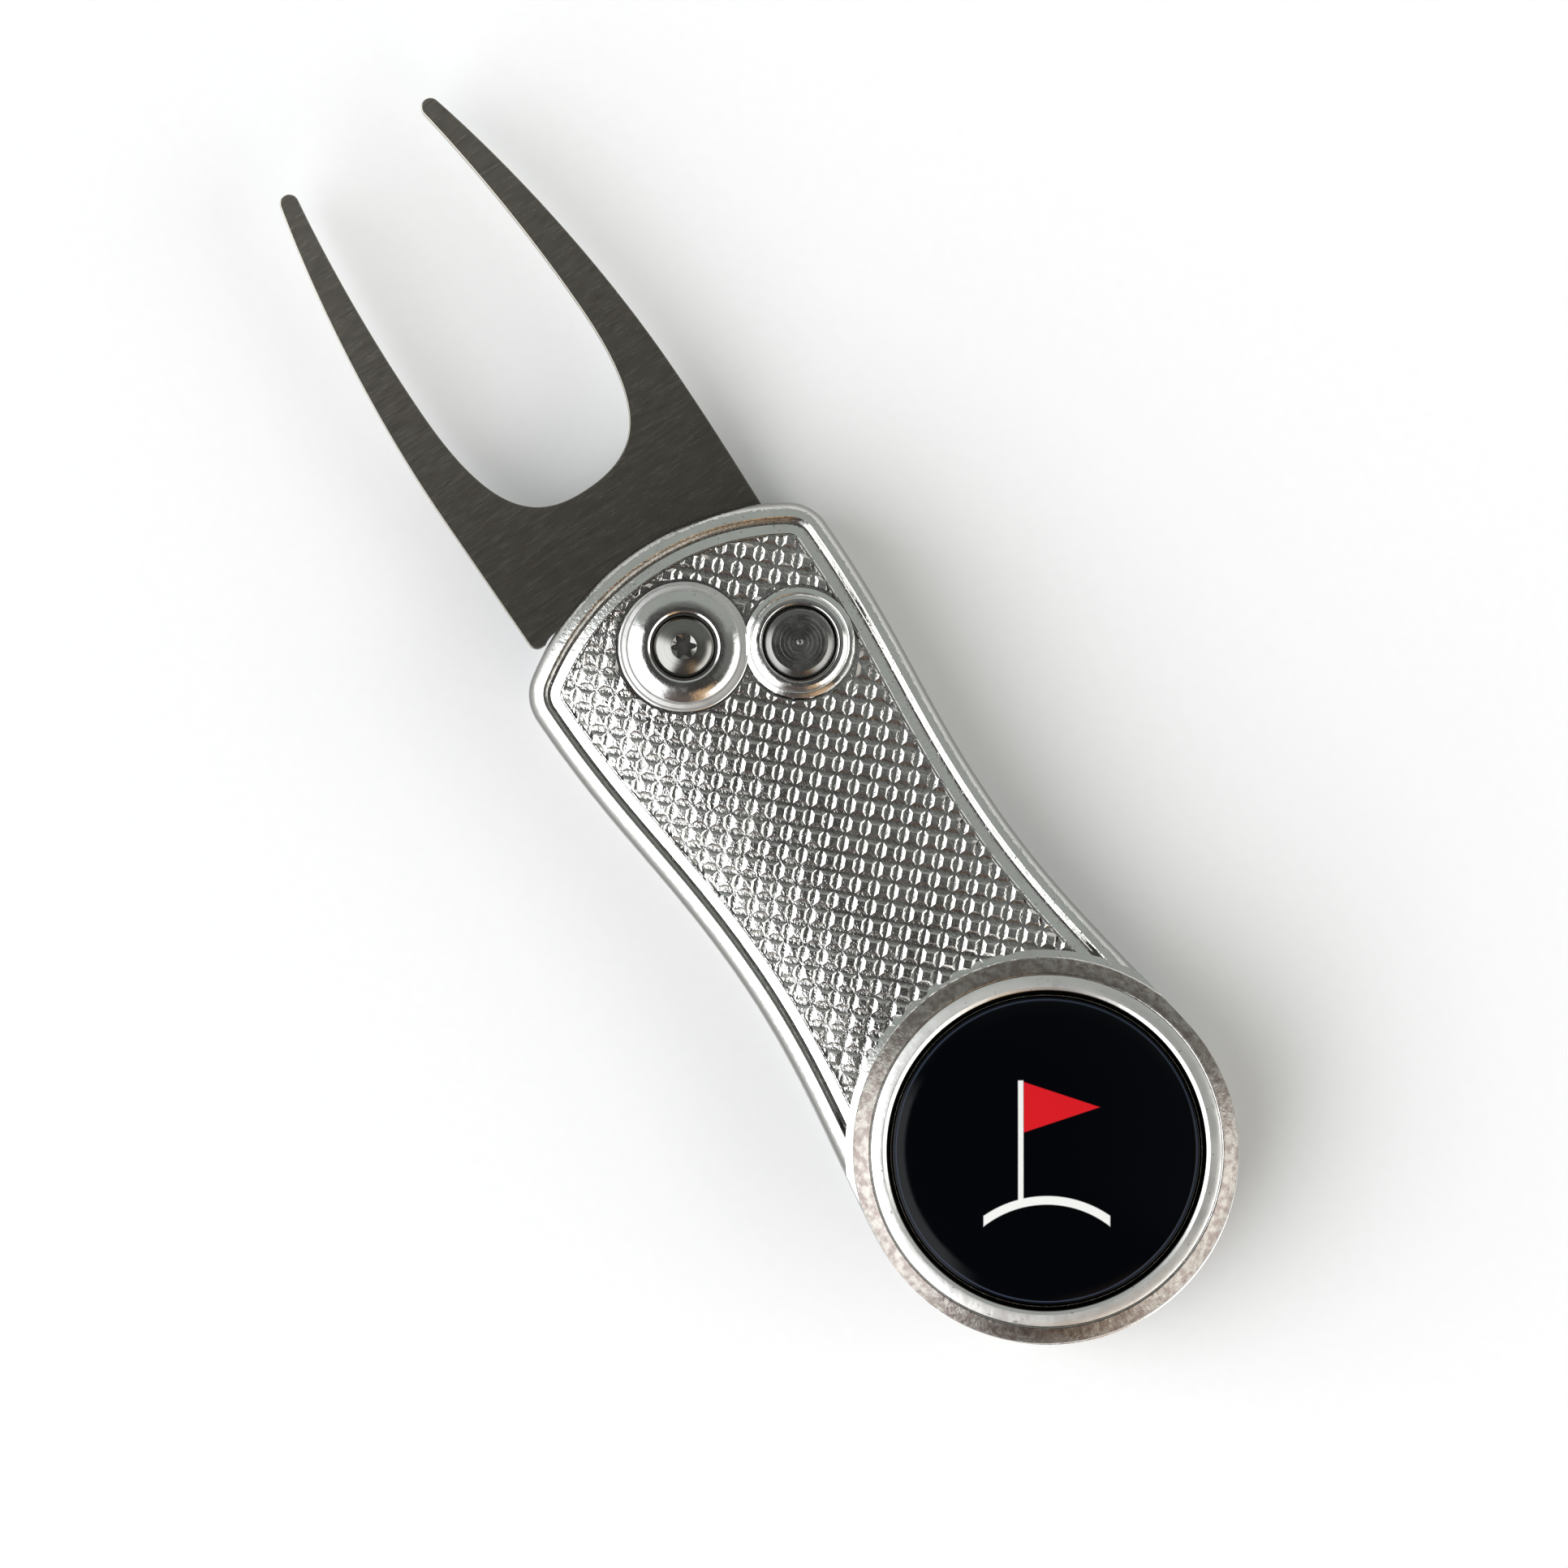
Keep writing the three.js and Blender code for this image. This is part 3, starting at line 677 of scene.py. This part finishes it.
def front_casting():
    """The upper half: rim, step, band, fine line and grip, the two bosses and the marker's drum."""
    side = [(0.12, SPLIT), (0, SPLIT + 0.12), (0, 9.75), (0.05, 9.95)]
    shoulder = [(0.15, 10.18), (0.28, 10.38), (0.44, 10.56), (0.62, 10.71)]
    shoulder += [(0.8, 10.82), (0.98, 10.91), (1.12, 10.97)]
    step = [(1.22, 10.94), (1.28, 10.82), (1.46, 10.62), (1.52, 10.28), (1.66, 10.26), (1.72, BAND_Z - 0.16)]
    line = [(2.44, BAND_Z + 0.03), (2.5, 10.34), (2.6, 10.34), (2.66, BAND_Z - 0.05), (2.72, BAND_Z - 0.3)]
    section = side + shoulder + step + line + [(2.74, FIELD_FLOOR)]
    body = loft("handle_front", [level(d, z) for d, z in section])
    field = grip_field("field", FRONT_CELL, FIELD_FLOOR - 1, BAND_Z - VALLEY_DEPTH, BAND_Z)
    region = prism("region", inset(OUTLINE, FIELD_INSET), FIELD_FLOOR - 2, RIM_TOP + 1)
    combine(field, "INTERSECT", [region])
    bosses = ((PIVOT, BOSS_R), (BUTTON, BUTTON_BOSS_R))
    cut(field, *[disc("moat", c, r + MOAT, FIELD_FLOOR + 0.35, RIM_TOP + 1) for c, r in bosses])
    crown(body, FIELD_FLOOR - 0.2)
    crown(field, FIELD_FLOOR - 0.2)
    drum = [(0, SPLIT + 1), (15.6, SPLIT + 1), (15.6, 10.2), (15.1, 10.6), (14.82, 10.84)]
    drum += [(14.52, 11.08), (14.24, 11.3), (13.98, 11.49), (13.84, 11.56), (13.76, 11.5)]
    drum += [(13.7, 11.5), (13.62, 11.62), (13.5, 11.68), (13.2, 11.72)]
    drum += [(SEAT_MOUTH_R, RING_TOP - 0.02), (0, RING_TOP - 0.02)]
    drum = turned("drum", drum, SEAT, 160)
    combine(drum, "INTERSECT", [prism("end", inset(OUTLINE, 0.005), SPLIT, RIM_TOP + 2)])
    boss = [(0, SPLIT + 1), (BOSS_R, SPLIT + 1), (BOSS_R, 10.42), (5.09, 10.5), (5.02, 10.56)]
    boss += [(4.96, 10.57), (4.92, 10.52), (4.86, 10.52), (4.82, 10.58), (4.5, 10.62)]
    boss += [(4.46, 10.57), (4.4, 10.57), (4.36, 10.63)]
    for a in range(50, 0, -6):
        around = math.radians(a)
        boss.append((3.0 + 1.66 * math.sin(around), 10.105 + 0.915 * math.cos(around)))
    boss += [(3.0, 11.02), (0, 11.02)]
    outer = BUTTON_BOSS_R
    collar = [(0, SPLIT + 1), (outer, SPLIT + 1), (outer, 10.3), (outer - 0.03, 10.4)]
    collar += [(outer - 0.1, 10.5), (outer - 0.28, 10.58), (outer - 0.5, 10.62), (outer - 0.56, 10.6)]
    collar += [(outer - 0.62, 10.66), (outer - 0.78, 10.85), (outer - 0.98, 10.97)]
    collar += [(outer - 1.2, 11.0), (0, 11.0)]
    join(body, field, drum, turned("boss", boss, PIVOT), turned("collar", collar, BUTTON))
    seat = [(0, SEAT_FLOOR), (SEAT_R, SEAT_FLOOR), (SEAT_R, 11.5), (SEAT_R + 0.03, 11.6)]
    seat += [(SEAT_R + 0.12, 11.68), (SEAT_MOUTH_R - 0.2, 11.76), (SEAT_MOUTH_R - 0.1, 11.84)]
    seat += [(SEAT_MOUTH_R - 0.1, 14), (0, 14)]
    bore = [(0, 9.8), (2.62, 9.8), (2.62, 10.8), (2.66, 10.92), (2.76, 11.0), (2.86, 11.04)]
    bore += [(2.86, 14), (0, 14)]
    mouth = [(0, SPLIT - 1), (3.4, SPLIT - 1), (3.4, 9.4), (2.87, 9.4), (2.87, 10.72)]
    mouth += [(2.92, 10.86), (3.02, 10.96), (3.14, 11.02), (3.14, 14), (0, 14)]
    screws = [disc(f"thread_{i}", c, 1.15, SPLIT - 1, 8.4, 32) for i, c in enumerate(REAR)]
    cut(
        body,
        turned("seat", seat, SEAT, 160),
        turned("bore", bore, PIVOT),
        turned("mouth", mouth, BUTTON),
        disc("barrel_hole", PIVOT, BARREL_BORE_R, SPLIT - 1, 9.6, 64),
        disc("washer_pocket", PIVOT, WASHER_POCKET_R, SPLIT - 1, 6.75),
        disc("pin_hole", STOP, PIN_BORE_R, SPLIT - 1, 9.1, 32),
        disc("magnet_pocket", SEAT, 5.1, 7.4, SEAT_FLOOR + 0.5),
        *screws,
    )
    return shade(body, 20)


def back_casting():
    """The lower half: the same grip underneath, and above it the cavity the fork folds into."""
    panel = [(2.72, 0.6), (2.7, 0.26), (2.64, 0.2), (2.54, 0.2), (2.48, 0.03), (2.42, 0.0)]
    groove = [(1.95, 0.0), (1.88, 0.06), (1.82, 0.26), (1.62, 0.26), (1.54, 0.06), (1.46, 0.0)]
    edge = [(1.1, 0.0), (0.78, 0.05), (0.46, 0.2), (0.2, 0.45), (0.05, 0.78), (0, 1.12)]
    top = [(0, BACK_PLATE_TOP - 0.12), (0.12, BACK_PLATE_TOP)]
    body = loft("handle_back", [level(d, z) for d, z in panel + groove + edge + top])
    field = grip_field("field", BACK_CELL, 1.6, VALLEY_DEPTH, 0.0)
    region = prism("region", inset(OUTLINE, FIELD_INSET), -1, 1.4)
    combine(field, "INTERSECT", [region])
    upper = prism("upper", OUTLINE, BACK_PLATE_TOP - 0.6, SPLIT)
    cavity = disc("cavity", PIVOT, TIP_SWEEP_R, BACK_PLATE_TOP, SPLIT + 1, 240)
    low, high = BACK_PLATE_TOP - 1, SPLIT + 2
    spine = slab("spine", MARKER_TIP_X, -2.4, OUTSIDE_Y, SPINE_Y, low, high)
    root = slab("root", -3.4, 3.0, OUTSIDE_Y, SPINE_ROOT_Y, low, high)
    cut(cavity, spine, root)
    cut(upper, cavity)
    join(body, upper)
    join(body, field)
    leg = slab("leg", 4.65, 7.6, -0.4, 0.4, 1.9, 5)
    leg.data.transform(Matrix.Translation((-SHIFT, 0, 0)))
    leg.data.transform(Matrix.Rotation(math.radians(LEG_ANGLE), 4, "Z"))
    leg.data.transform(Matrix.Translation((SHIFT, PIVOT[1] * MM, 0)))
    sink = [(0, -1), (2.35, -1), (2.35, 0.12), (1.25, 1.35), (1.25, 8), (0, 8)]
    sinks = [turned(f"sink_{i}", sink, c, 64) for i, c in enumerate(REAR)]
    pads = [disc(f"pad_{i}", c, 3.1, 0.0, 1.5, 64) for i, c in enumerate(REAR)]
    join(body, *pads, disc("pad", PIVOT, 4.7, 0.0, 1.5))
    ring = disc("ring", PIVOT, 5.7, 1.9, 6)
    cut(ring, disc("hub", PIVOT, 3.6, 1, 4.25))
    head_well = [(0, -1), (3.78, -1), (3.78, 0.12), (3.7, 0.22), (3.7, 1.2), (0, 1.2)]
    cut(
        body,
        ring,
        leg,
        disc("barrel_hole", PIVOT, BARREL_BORE_R, -1, 6, 64),
        turned("head_well", head_well, PIVOT),
        disc("button_well", BUTTON, 1.85, WELL_FLOOR, 6, 48),
        disc("pin_hole", STOP, PIN_BORE_R, 1, 6, 32),
        *sinks,
    )
    return shade(body)


# ---------------------------------------------------------------- fork


def fork_plan():
    """The fork's plan outline with its tang, clockwise from the heel of the +Y side."""
    heel, half, corner = 6.35, 10.8, 0.7
    tip_r, tip_y = 0.75, 6.7
    tip_x = FORK_HIGH.x - tip_r
    slot_half, slot_x, crotch_x = 7.45, 26.5, 14.56
    outer, inner = math.radians(76.5), math.radians(-99.6)
    tang_r, lobe_x, lobe_half = 7.0, 1.1, 10.3
    inner_end = (tip_x + tip_r * math.cos(inner), tip_y + tip_r * math.sin(inner))
    outer_end = (tip_x + tip_r * math.cos(outer), tip_y + tip_r * math.sin(outer))
    tang_top = math.sqrt(tang_r**2 - heel**2)
    lobe_top = -math.sqrt(tang_r**2 - lobe_x**2)
    upper = arc(heel + corner, half - corner, corner, math.pi, math.pi / 2, 8)
    upper += bezier((19, half), (28, half), (38, 9.5), outer_end, 50)
    flank = len(upper)
    upper += arc(tip_x, tip_y, tip_r, outer, inner, 14)
    upper += bezier(inner_end, (40, 6.9), (33, slot_half), (slot_x, slot_half), 40)
    upper += bezier((slot_x, slot_half), (16.5, slot_half), (crotch_x, 4.4), (crotch_x, 0), 40)
    mirrored = [(x, -y) for x, y in reversed(upper[flank:])][1:]
    lower = mirrored + bezier((outer_end[0], -outer_end[1]), (38, -9.5), (28, -half), (19, -half), 50)
    lower += bezier((19, -half), (13, -half), (8, -lobe_half - 0.2), (lobe_x + corner, -lobe_half), 30)
    lower += arc(lobe_x + corner, corner - lobe_half, corner, -math.pi / 2, -math.pi, 8)
    start, end = math.atan2(lobe_top, lobe_x), math.atan2(tang_top, heel) - 2 * math.pi
    lower += arc(*PIVOT, tang_r, start, end, 70)
    loop = []
    for point in upper + lower:
        if not loop or math.dist(point, loop[-1]) > 0.02:
            loop.append(point)
    if math.dist(loop[0], loop[-1]) < 0.02:
        loop.pop()
    return loop


def fork_blade():
    """The blanked fork with broken edges, its pivot hole, spring hole and button notch."""
    plan = list(reversed(fork_plan()))
    low, high = FORK_LOW.z, FORK_HIGH.z
    ease = 0.09
    sides = [(ease, low), (ease * 0.3, low + ease * 0.3), (0, low + ease), (0, high - ease)]
    sides += [(ease * 0.3, high - ease * 0.3), (ease, high)]
    blade = loft("fork_blade", [[(x, y, z) for x, y in inset(plan, d)] for d, z in sides])
    notch = (-BUTTON[0], 2 * PIVOT[1] - BUTTON[1])
    cut(
        blade,
        disc("pivot_hole", PIVOT, BARREL_BORE_R, 0, 12, 64),
        disc("catch_hole", (PIVOT[0], PIVOT[1] + 4.65), 0.5, 0, 12, 32),
        disc("notch", notch, 1.9, 0, 12, 64),
    )
    return shade(blade, 18)


# ---------------------------------------------------------------- pivot screw, button, rear screws


def lobed(name, centre, r, lobe, bottom, top):
    """A six-lobe socket as a solid to cut with."""
    outline = []
    for i in range(120):
        a = 2 * math.pi * i / 120
        reach = r + lobe * math.cos(6 * a)
        outline.append((centre[0] + reach * math.cos(a), centre[1] + reach * math.sin(a)))
    return prism(name, outline, bottom, top)


def screw_head():
    seat, brim, top, head_r = 9.8, 10.3, SCREW_HIGH.z, 2.46
    profile = [(0, SCREW_LOW.z), (1.25, SCREW_LOW.z), (1.25, seat)]
    profile += [(head_r - 0.06, seat), (head_r, seat + 0.06)]
    profile += [(head_r * math.cos(a), brim + (top - brim) * math.sin(a)) for a in quarter(14)[:-1]]
    head = turned("pivot_screw_head", profile + [(0, top)], PIVOT)
    rim = [(0, top - 0.26), (0.62, top - 0.26), (1.0, top - 0.1), (1.06, top - 0.02), (1.06, 12), (0, 12)]
    cut(head, turned("rim", rim, PIVOT), lobed("socket", PIVOT, 0.8, 0.2, top - 0.5, 12))
    return shade(head, 30)


def button_body():
    r, low, top = 2.75, BUTTON_LOW.z, BUTTON_HIGH.z
    profile = [(0, low + 1.6), (1.15, low + 1.6), (1.15, low), (1.6, low), (1.7, low + 0.1), (1.7, low + 2)]
    profile += [(1.15, low + 2), (1.15, 8.7), (3.2, 8.7), (3.2, 9.3), (r, 9.3), (r, top - 0.55)]
    profile += [(r - 0.05, top - 0.42), (r - 0.16, top - 0.26), (r - 0.34, top - 0.1)]
    profile += [(r - 0.5, top - 0.03), (2.2, top)]
    for ring in (1.95, 1.62, 1.28, 0.93, 0.58):
        profile += [(ring + 0.07, top - 0.004), (ring, top - 0.012), (ring - 0.07, top - 0.004)]
    profile += [(0.26, top - 0.02), (0.2, top - 0.06), (0.15, top - 0.02), (0.07, top), (0, top)]
    return shade(turned("button_cap", profile, BUTTON, 128), 30)


def rear_screw(index):
    centre = REAR[index]
    low, high = span(f"rear_screw_{index + 1}")
    profile = [(0, low.z), (1.94, low.z), (2.0, low.z + 0.06), (1.12, low.z + 1.1)]
    turns = int((high.z - low.z - 1.4) / 0.4)
    for i in range(turns):
        z = low.z + 1.3 + 0.4 * i
        profile += [(0.95, z), (1.1, z + 0.16), (1.1, z + 0.22), (0.95, z + 0.38)]
    profile += [(0.8, high.z), (0, high.z)]
    screw = turned(f"rear_screw_body_{index + 1}", profile, centre, 48)
    cut(screw, lobed("socket", centre, 0.8, 0.15, -1, low.z + 0.9))
    return shade(screw, 30)


def barrel_nut():
    low, high = span("pivot_barrel")
    profile = [(0, low.z), (3.42, low.z), (3.54, low.z + 0.04), (3.6, low.z + 0.16), (3.6, 1.2), (2.0, 1.2)]
    profile += [(2.0, high.z - 0.1), (1.9, high.z), (1.4, high.z), (1.4, 1.8), (0, 1.8)]
    barrel = turned("pivot_barrel_nut", profile, PIVOT)
    cut(barrel, slab("slot", -5, 5, PIVOT[1] - 0.45, PIVOT[1] + 0.45, -1, 0.7))
    return shade(barrel, 30)


# ---------------------------------------------------------------- springs


def wire(name, route, r, sides=10):
    """A closed round wire along a route, its section turned with the route."""
    loops = []
    normal = Vector((0, 0, 1))
    for i, point in enumerate(route):
        before = Vector(route[max(0, i - 1)])
        after = Vector(route[min(len(route) - 1, i + 1)])
        along = (after - before).normalized()
        normal = (normal - along * normal.dot(along)).normalized()
        side = along.cross(normal)
        ring = []
        for k in range(sides):
            a = 2 * math.pi * k / sides
            ring.append(Vector(point) + (normal * math.cos(a) + side * math.sin(a)) * r)
        loops.append(ring)
    vertices = [v for loop in loops for v in loop]
    faces = [tuple(range(sides))]
    for k in range(len(loops) - 1):
        low, high = k * sides, (k + 1) * sides
        for i in range(sides):
            j = (i + 1) % sides
            faces.append((low + i, high + i, high + j, low + j))
    faces.append(tuple(reversed(range((len(loops) - 1) * sides, len(loops) * sides))))
    return piece(name, vertices, faces)


def round_point(centre, r, a, z):
    return (centre[0] + r * math.cos(a), centre[1] + r * math.sin(a), z)


def torsion_spring():
    """A leg in the back casting, three turns round the hub and an end turned up into the fork."""
    low, high, steps = 2.25, 4.05, 130
    start, end = math.radians(LEG_ANGLE), math.radians(90 + 3 * 360)
    route = [round_point(PIVOT, reach, start, low) for reach in (7.2, 6.3, 5.4)]
    for i in range(2, steps - 1):
        a = start + (end - start) * i / steps
        route.append(round_point(PIVOT, TORSION_R, a, low + (high - low) * i / steps))
    route += [round_point(PIVOT, TORSION_R, end, z) for z in (4.5, 5.1, 5.8)]
    return shade(wire("torsion_coil", route, TORSION_WIRE_R), 50)


def compression_spring():
    """The button's spring, its turns a little closer at both ends."""
    low, high = WELL_FLOOR + 0.18, 5.92
    route, steps = [], PUSH_TURNS * 24
    for i in range(steps + 1):
        t = i / steps
        rise = t * t * (3 - 2 * t) * 0.35 + t * 0.65
        a = 2 * math.pi * PUSH_TURNS * t
        route.append(round_point(BUTTON, PUSH_R, a, low + (high - low) * rise))
    return shade(wire("button_coil", route, PUSH_WIRE_R, 8), 50)


# ---------------------------------------------------------------- ball marker


def marker_cup():
    """A shallow cup with a thin lip."""
    r, top, floor = 12.15, CUP_HIGH.z, SEAT_FLOOR
    profile = [(0, floor), (r - 0.2, floor), (r - 0.06, floor + 0.06), (r, floor + 0.2), (r, top - 0.1)]
    profile += [(r - 0.02, top - 0.03), (r - 0.05, top), (r - 0.09, top), (r - 0.12, top - 0.04)]
    profile += [(r - 0.13, top - 0.12), (r - 0.13, top - 0.7), (r - 0.35, top - 0.9)]
    profile += [(r - 0.35, floor + 0.5), (0, floor + 0.5)]
    return shade(turned("marker_cup_shell", profile, SEAT, 160), 30)


def marker_dome():
    """Domed resin: a shallow crown inside a small step at the edge, wider where it laps the lip."""
    r, bottom = RESIN_R, DOME_LOW.z
    profile = [(0, bottom), (11.7, bottom), (11.7, 11.0), (r, 11.2), (r, 11.36), (r - 0.04, 11.46)]
    profile += [(r - 0.12, 11.52), (r - 0.2, 11.53), (r - 0.24, 11.5), (r - 0.3, 11.56), (r - 0.36, 11.6)]
    crown_r, steps = r - RESIN_EDGE, 12
    for i in range(steps + 1):
        reach = crown_r * (1 - i / steps)
        profile.append((reach, 11.62 + DOME_RISE * (1 - (reach / crown_r) ** 2)))
    return shade(turned("marker_dome_resin", profile, SEAT, 160), 30)


# ---------------------------------------------------------------- printed motif


def inside(tree, value, soft=0.05):
    """1 where value is negative, with a thin soft edge."""
    return ramp(tree, value, soft, -soft)


def outside(tree, value, centre, half):
    """How far value is outside the span of half to each side of centre, negative within it."""
    distance = maths(tree, "ABSOLUTE", maths(tree, "SUBTRACT", value, centre), 0)
    return maths(tree, "SUBTRACT", distance, half)


def motif_masks(tree):
    """Distance from the marker's centre, a mask for the staff and the turf, one for the pennant."""
    place = millimetres(tree, stretch=(1 / PRINT_SCALE, 1 / PRINT_SCALE, 0), origin=SEAT)
    across = axis_value(tree, place, VIEW_RIGHT)
    up = axis_value(tree, place, VIEW_UP)
    radius = from_point(tree, SEAT)

    staff_side = outside(tree, across, -2.6, 0.26)
    staff_ends = outside(tree, up, 0.9, 6.1)
    staff = inside(tree, maths(tree, "MAXIMUM", staff_side, staff_ends))

    taper = maths(tree, "MULTIPLY", maths(tree, "ADD", across, 2.3), 0.33)
    drop = maths(tree, "ABSOLUTE", maths(tree, "SUBTRACT", up, 4.35), 0)
    blade = maths(tree, "SUBTRACT", maths(tree, "ADD", drop, taper), 2.5)
    pennant = inside(tree, maths(tree, "MAXIMUM", blade, maths(tree, "SUBTRACT", -2.3, across)))

    below = add(tree, "ShaderNodeVectorMath", operation="DISTANCE")
    tree.links.new(place, below.inputs[0])
    below.inputs[1].default_value = tuple(-15.5 * c for c in VIEW_UP) + (0,)
    turf_band = outside(tree, below.outputs["Value"], 10.6, 0.42)
    turf_ends = outside(tree, across, 0.0, 6.3)
    turf = inside(tree, maths(tree, "MAXIMUM", turf_band, turf_ends))

    white = maths(tree, "MAXIMUM", staff, turf)
    return radius, white, pennant


def print_colour(tree):
    radius, white, red = motif_masks(tree)
    tone = mix_colour(tree, red, PRINT_BLACK, PRINT_RED)
    return radius, mix_colour(tree, white, tone, PRINT_WHITE)


def printed_resin():
    """A glossy printed dome: black ground, the motif, and a painted highlight, a thin pale line at its edge.
    """
    material, tree, shader = node_material("marker_resin", PRINT_BLACK, 0.06, 0.0)
    radius, tone = print_colour(tree)
    # Painted highlight: a thin pale bluish line round the dome's edge
    line = outside(tree, radius, 11.72, 0.06)
    tone = mix_colour(tree, inside(tree, line, 0.03), tone, (0.035, 0.045, 0.07))
    tree.links.new(tone, shader.inputs["Base Color"])
    dust = noise(tree, millimetres(tree), 1.1, 4.0)
    tree.links.new(ramp(tree, dust, 0.3, 0.75, 0.05, 0.12), shader.inputs["Roughness"])
    shader.inputs["Specular IOR Level"].default_value = 0.12
    bump(tree, shader, [(dust, 0.05, 0.02)])
    return material


def printed_face():
    material, tree, shader = node_material("marker_print", PRINT_BLACK, 0.4, 0.0)
    tree.links.new(print_colour(tree)[1], shader.inputs["Base Color"])
    tooth = noise(tree, millimetres(tree), 8.0, 3.0)
    bump(tree, shader, [(tooth, 0.1, 0.01)])
    return material


def cup_plating():
    """Nickel, black over the mouth but for a hair of lip where the nickel shows."""
    material, tree, shader = node_material("marker_nickel", (0.50, 0.46, 0.40), 0.2)
    place = millimetres(tree)
    lip = between(tree, from_point(tree, SEAT), 12.06, 12.13, 0.02)
    wall = smooth(tree, axis_value(tree, place, (0, 0), height=1), 11.1, 11.0)
    nickel_shows = maths(tree, "MAXIMUM", lip, wall)
    grain = noise(tree, place, 3.0, 3.0)
    nickel = mix_colour(tree, grain, (0.42, 0.38, 0.31), (0.62, 0.58, 0.52))
    tree.links.new(mix_colour(tree, nickel_shows, (0.012, 0.012, 0.014), nickel), shader.inputs["Base Color"])
    tree.links.new(ramp(tree, grain, 0.3, 0.7, 0.14, 0.26), shader.inputs["Roughness"])
    bump(tree, shader, [(grain, 0.3, 0.02)])
    return material


MATERIALS["nickel"] = cup_plating()
MATERIALS["resin"] = printed_resin()
MATERIALS["print"] = printed_face()

# ---------------------------------------------------------------- the pieces

finish_piece(front_casting(), MATERIALS["plated"], "handle", "plated_casting", "front_scale")
finish_piece(back_casting(), MATERIALS["plated"], "handle", "plated_casting", "back_scale")
finish_piece(fork_blade(), MATERIALS["fork"], "fork", "fork_steel", "fork")
finish_piece(screw_head(), MATERIALS["screw"], "handle", "pivot_steel", "pivot_screw")
finish_piece(barrel_nut(), MATERIALS["steel"], "handle", "pivot_steel", "pivot_barrel")
finish_piece(button_body(), MATERIALS["button"], "push_button", "button_steel", "push_button")
for index in range(2):
    finish_piece(rear_screw(index), MATERIALS["steel"], "handle", "screw_steel", f"rear_screw_{index + 1}")
finish_piece(marker_cup(), MATERIALS["nickel"], "marker", "marker_nickel", "marker_cup")
finish_piece(marker_dome(), MATERIALS["resin"], "marker", "marker_resin", "marker_dome")

coil = torsion_spring()
coil.data.materials.append(MATERIALS["wire"])
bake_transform(coil)
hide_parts("drive_spring")

push_coil = compression_spring()
push_coil.data.materials.append(MATERIALS["wire"])
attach(push_coil, "handle")
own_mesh(push_coil)
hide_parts("button_spring")

for node, material in (
    ("front_washer", "bronze"),
    ("back_washer", "bronze"),
    ("stop_pin", "steel"),
    ("marker_magnet", "magnet"),
    ("marker_face", "print"),
):
    for material_slot in frame["nodes"][node].material_slots:
        material_slot.material = MATERIALS[material]

# ---------------------------------------------------------------- floor, camera, light


def floor():
    bpy.ops.mesh.primitive_plane_add(size=6, location=(0, 0, -0.0002))
    plane = bpy.context.object
    plane.name = "floor"
    material, tree, shader = node_material("floor_paper", (0.9, 0.9, 0.9), 0.85, 0.0)
    coordinates = add(tree, "ShaderNodeTexCoord")
    fibre = noise(tree, coordinates.outputs["Object"], 900.0, 3.0)
    paper = mix_colour(tree, fibre, (0.90, 0.90, 0.90), (0.93, 0.93, 0.93))
    tree.links.new(paper, shader.inputs["Base Color"])
    plane.data.materials.append(material)


def camera():
    """Nearly straight down, the handle running from upper left to lower right of the view."""
    data = bpy.data.cameras.new("camera")
    data.sensor_width = VIEW_SENSOR
    data.lens = VIEW_LENS
    data.clip_start, data.clip_end = 0.01, 20
    obj = bpy.data.objects.new("camera", data)
    bpy.context.scene.collection.objects.link(obj)
    right = Vector((*VIEW_RIGHT, 0)).normalized()
    up = Vector((-right.y, right.x, 0))
    back = (Vector((0, 0, 1)) + right * VIEW_LEAN[0] + up * VIEW_LEAN[1]).normalized()
    distance = VIEW_WIDTH / VIEW_SENSOR * VIEW_LENS
    side = up.cross(back).normalized()
    top = back.cross(side)
    turn = Matrix((side, top, back)).transposed().to_4x4()
    obj.matrix_world = Matrix.Translation(Vector(VIEW_CENTRE) + back * distance) @ turn
    bpy.context.scene.camera = obj


def surroundings():
    """A dark overhead and a dark near side between broad lit walls, as in a room with a window."""
    world = bpy.data.worlds.new("studio")
    bpy.context.scene.world = world
    world.use_nodes = True
    tree = world.node_tree
    direction = add(tree, "ShaderNodeTexCoord").outputs["Generated"]
    across = axis_value(tree, direction, VIEW_RIGHT)
    up = axis_value(tree, direction, VIEW_UP)
    square = maths(tree, "ADD", maths(tree, "MULTIPLY", across, across), maths(tree, "MULTIPLY", up, up))
    reach = maths(tree, "MAXIMUM", maths(tree, "SQRT", square, 0), 0.001)
    colour = OVERHEAD
    for azimuth, spread, start, full, light in ROOM:
        a = math.radians(azimuth)
        across_part = maths(tree, "MULTIPLY", across, math.cos(a))
        along = maths(tree, "ADD", across_part, maths(tree, "MULTIPLY", up, math.sin(a)))
        edge = [math.cos(math.radians(min(180, spread + s))) for s in (10, -10)]
        side = smooth(tree, maths(tree, "DIVIDE", along, reach), *edge)
        mask = maths(tree, "MULTIPLY", side, smooth(tree, reach, start, full))
        colour = mix_colour(tree, mask, colour, light)
    tree.links.new(colour, tree.nodes["Background"].inputs["Color"])
    tree.nodes["Background"].inputs["Strength"].default_value = ROOM_STRENGTH


floor()
camera()
surroundings()

view = bpy.context.scene.view_settings
view.view_transform = "Standard"
